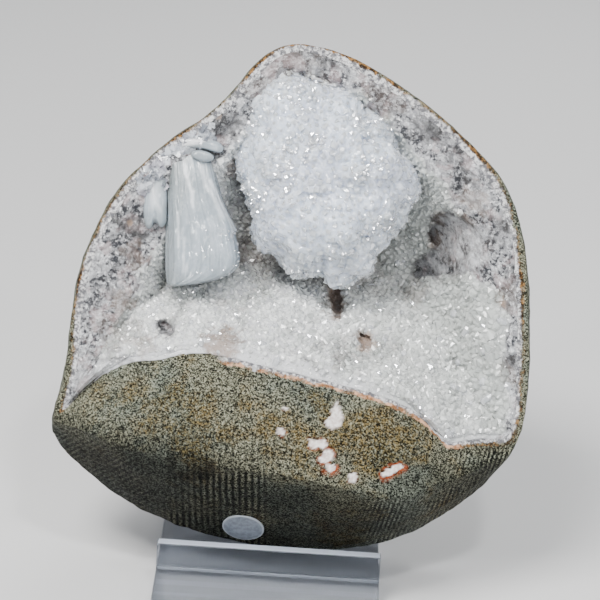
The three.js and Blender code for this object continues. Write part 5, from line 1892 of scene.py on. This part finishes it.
def make_stage(settings):
    """The floor, the air's light, the lamps and the camera."""
    size = 4.0
    below = -0.1 * MM  # a little air under the stand's base
    corners = np.array([
        [-size, -size, below], [size, -size, below], [size, size, below], [-size, size, below]])
    floor = mesh_object(
        "studio_floor", corners, [np.array([[0, 1, 2, 3]])], [stage_material(settings)])
    world = bpy.data.worlds.new("studio_air")
    bpy.context.scene.world = world
    world.use_nodes = True
    air = world.node_tree.nodes["Background"]
    air.inputs["Color"].default_value = (0.93, 0.96, 1.0, 1)
    air.inputs["Strength"].default_value = 0.38

    target = Vector(placed(np.array([0, 5, 5])))
    for name, place, wide, share, colour in LAMPS:
        lamp = bpy.data.lights.new(name, "AREA")
        lamp.shape = "RECTANGLE"
        lamp.size = wide
        lamp.size_y = wide * 0.7
        lamp.energy = settings.light_power * share
        lamp.color = colour
        holder = bpy.data.objects.new(name, lamp)
        holder.location = place
        holder.rotation_mode = "QUATERNION"
        holder.rotation_quaternion = (target - Vector(place)).to_track_quat("-Z", "Y")
        bpy.context.scene.collection.objects.link(holder)

    eye = bpy.data.cameras.new("eye")
    eye.sensor_width = 36.0
    eye.lens = eye.sensor_width / 2 * VIEW_DISTANCE / VIEW_HALF_WIDTH
    eye.clip_start, eye.clip_end = 0.05, 20
    holder = bpy.data.objects.new("eye", eye)
    bpy.context.scene.collection.objects.link(holder)
    turn = Matrix(STONE_TURN.tolist()) @ Matrix.Rotation(math.radians(90), 3, "X")
    holder.matrix_world = turn.to_4x4()
    holder.location = Vector(placed(EYE))
    bpy.context.scene.camera = holder


# ---- operators ----


class SpecimenOperator:
    bl_options = {"REGISTER", "UNDO"}


class SPECIMEN_OT_basalt_shell(SpecimenOperator, bpy.types.Operator):
    """Make the sawn and broken half shell of basalt"""

    bl_idname = "specimen.basalt_shell"
    bl_label = "Basalt shell"

    def execute(self, context):
        make_basalt(context.scene.specimen_stone)
        return {"FINISHED"}


class SPECIMEN_OT_quartz_crust(SpecimenOperator, bpy.types.Operator):
    """Make the quartz lining of the hollow and the crystals that grow on it"""

    bl_idname = "specimen.quartz_crust"
    bl_label = "Quartz crust"

    def execute(self, context):
        make_crust(context.scene.specimen_crystals)
        return {"FINISHED"}


class SPECIMEN_OT_crystal_ball(SpecimenOperator, bpy.types.Operator):
    """Make the ball of white crystals"""

    bl_idname = "specimen.crystal_ball"
    bl_label = "Ball of crystals"

    def execute(self, context):
        make_ball(context.scene.specimen_crystals)
        return {"FINISHED"}


class SPECIMEN_OT_flared_crystal(SpecimenOperator, bpy.types.Operator):
    """Make the flared crystal and its small blades"""

    bl_idname = "specimen.flared_crystal"
    bl_label = "Flared crystal"

    def execute(self, context):
        make_fan(context.scene.specimen_crystals)
        return {"FINISHED"}


class SPECIMEN_OT_film_dot(SpecimenOperator, bpy.types.Operator):
    """Make the round film dot under the front lip"""

    bl_idname = "specimen.film_dot"
    bl_label = "Film dot"

    def execute(self, context):
        make_dot()
        return {"FINISHED"}


class SPECIMEN_OT_acrylic_stand(SpecimenOperator, bpy.types.Operator):
    """Make the three clear sheets of the stand"""

    bl_idname = "specimen.acrylic_stand"
    bl_label = "Acrylic stand"

    def execute(self, context):
        make_stand(context.scene.specimen_stand)
        return {"FINISHED"}


class SPECIMEN_OT_studio(SpecimenOperator, bpy.types.Operator):
    """Make the floor, the lights and the camera"""

    bl_idname = "specimen.studio"
    bl_label = "Studio"

    def execute(self, context):
        make_stage(context.scene.specimen_stand)
        return {"FINISHED"}


class SPECIMEN_PT_pieces(bpy.types.Panel):
    """The specimen's pieces and their settings"""

    bl_idname = "SPECIMEN_PT_pieces"
    bl_label = "Goosecreekite specimen"
    bl_space_type = "VIEW_3D"
    bl_region_type = "UI"
    bl_category = "Specimen"

    def draw(self, context):
        scene = context.scene
        for settings in (scene.specimen_stone, scene.specimen_crystals, scene.specimen_stand):
            box = self.layout.box()
            for name in settings.__annotations__:
                box.prop(settings, name)
        column = self.layout.column(align=True)
        for operator in PIECE_OPERATORS:
            column.operator(operator.bl_idname)


PIECE_OPERATORS = (
    SPECIMEN_OT_basalt_shell,
    SPECIMEN_OT_quartz_crust,
    SPECIMEN_OT_crystal_ball,
    SPECIMEN_OT_flared_crystal,
    SPECIMEN_OT_film_dot,
    SPECIMEN_OT_acrylic_stand,
    SPECIMEN_OT_studio,
)
CLASSES = (StoneSettings, CrystalSettings, StandSettings) + PIECE_OPERATORS + (SPECIMEN_PT_pieces,)


def register():
    for each in CLASSES:
        bpy.utils.register_class(each)
    bpy.types.Scene.specimen_stone = PointerProperty(type=StoneSettings)
    bpy.types.Scene.specimen_crystals = PointerProperty(type=CrystalSettings)
    bpy.types.Scene.specimen_stand = PointerProperty(type=StandSettings)


def unregister():
    del bpy.types.Scene.specimen_stand
    del bpy.types.Scene.specimen_crystals
    del bpy.types.Scene.specimen_stone
    for each in reversed(CLASSES):
        bpy.utils.unregister_class(each)


def main():
    register()
    bpy.ops.specimen.basalt_shell()
    bpy.ops.specimen.quartz_crust()
    bpy.ops.specimen.crystal_ball()
    bpy.ops.specimen.flared_crystal()
    bpy.ops.specimen.film_dot()
    bpy.ops.specimen.acrylic_stand()
    bpy.ops.specimen.studio()


if __name__ == "__main__":
    main()
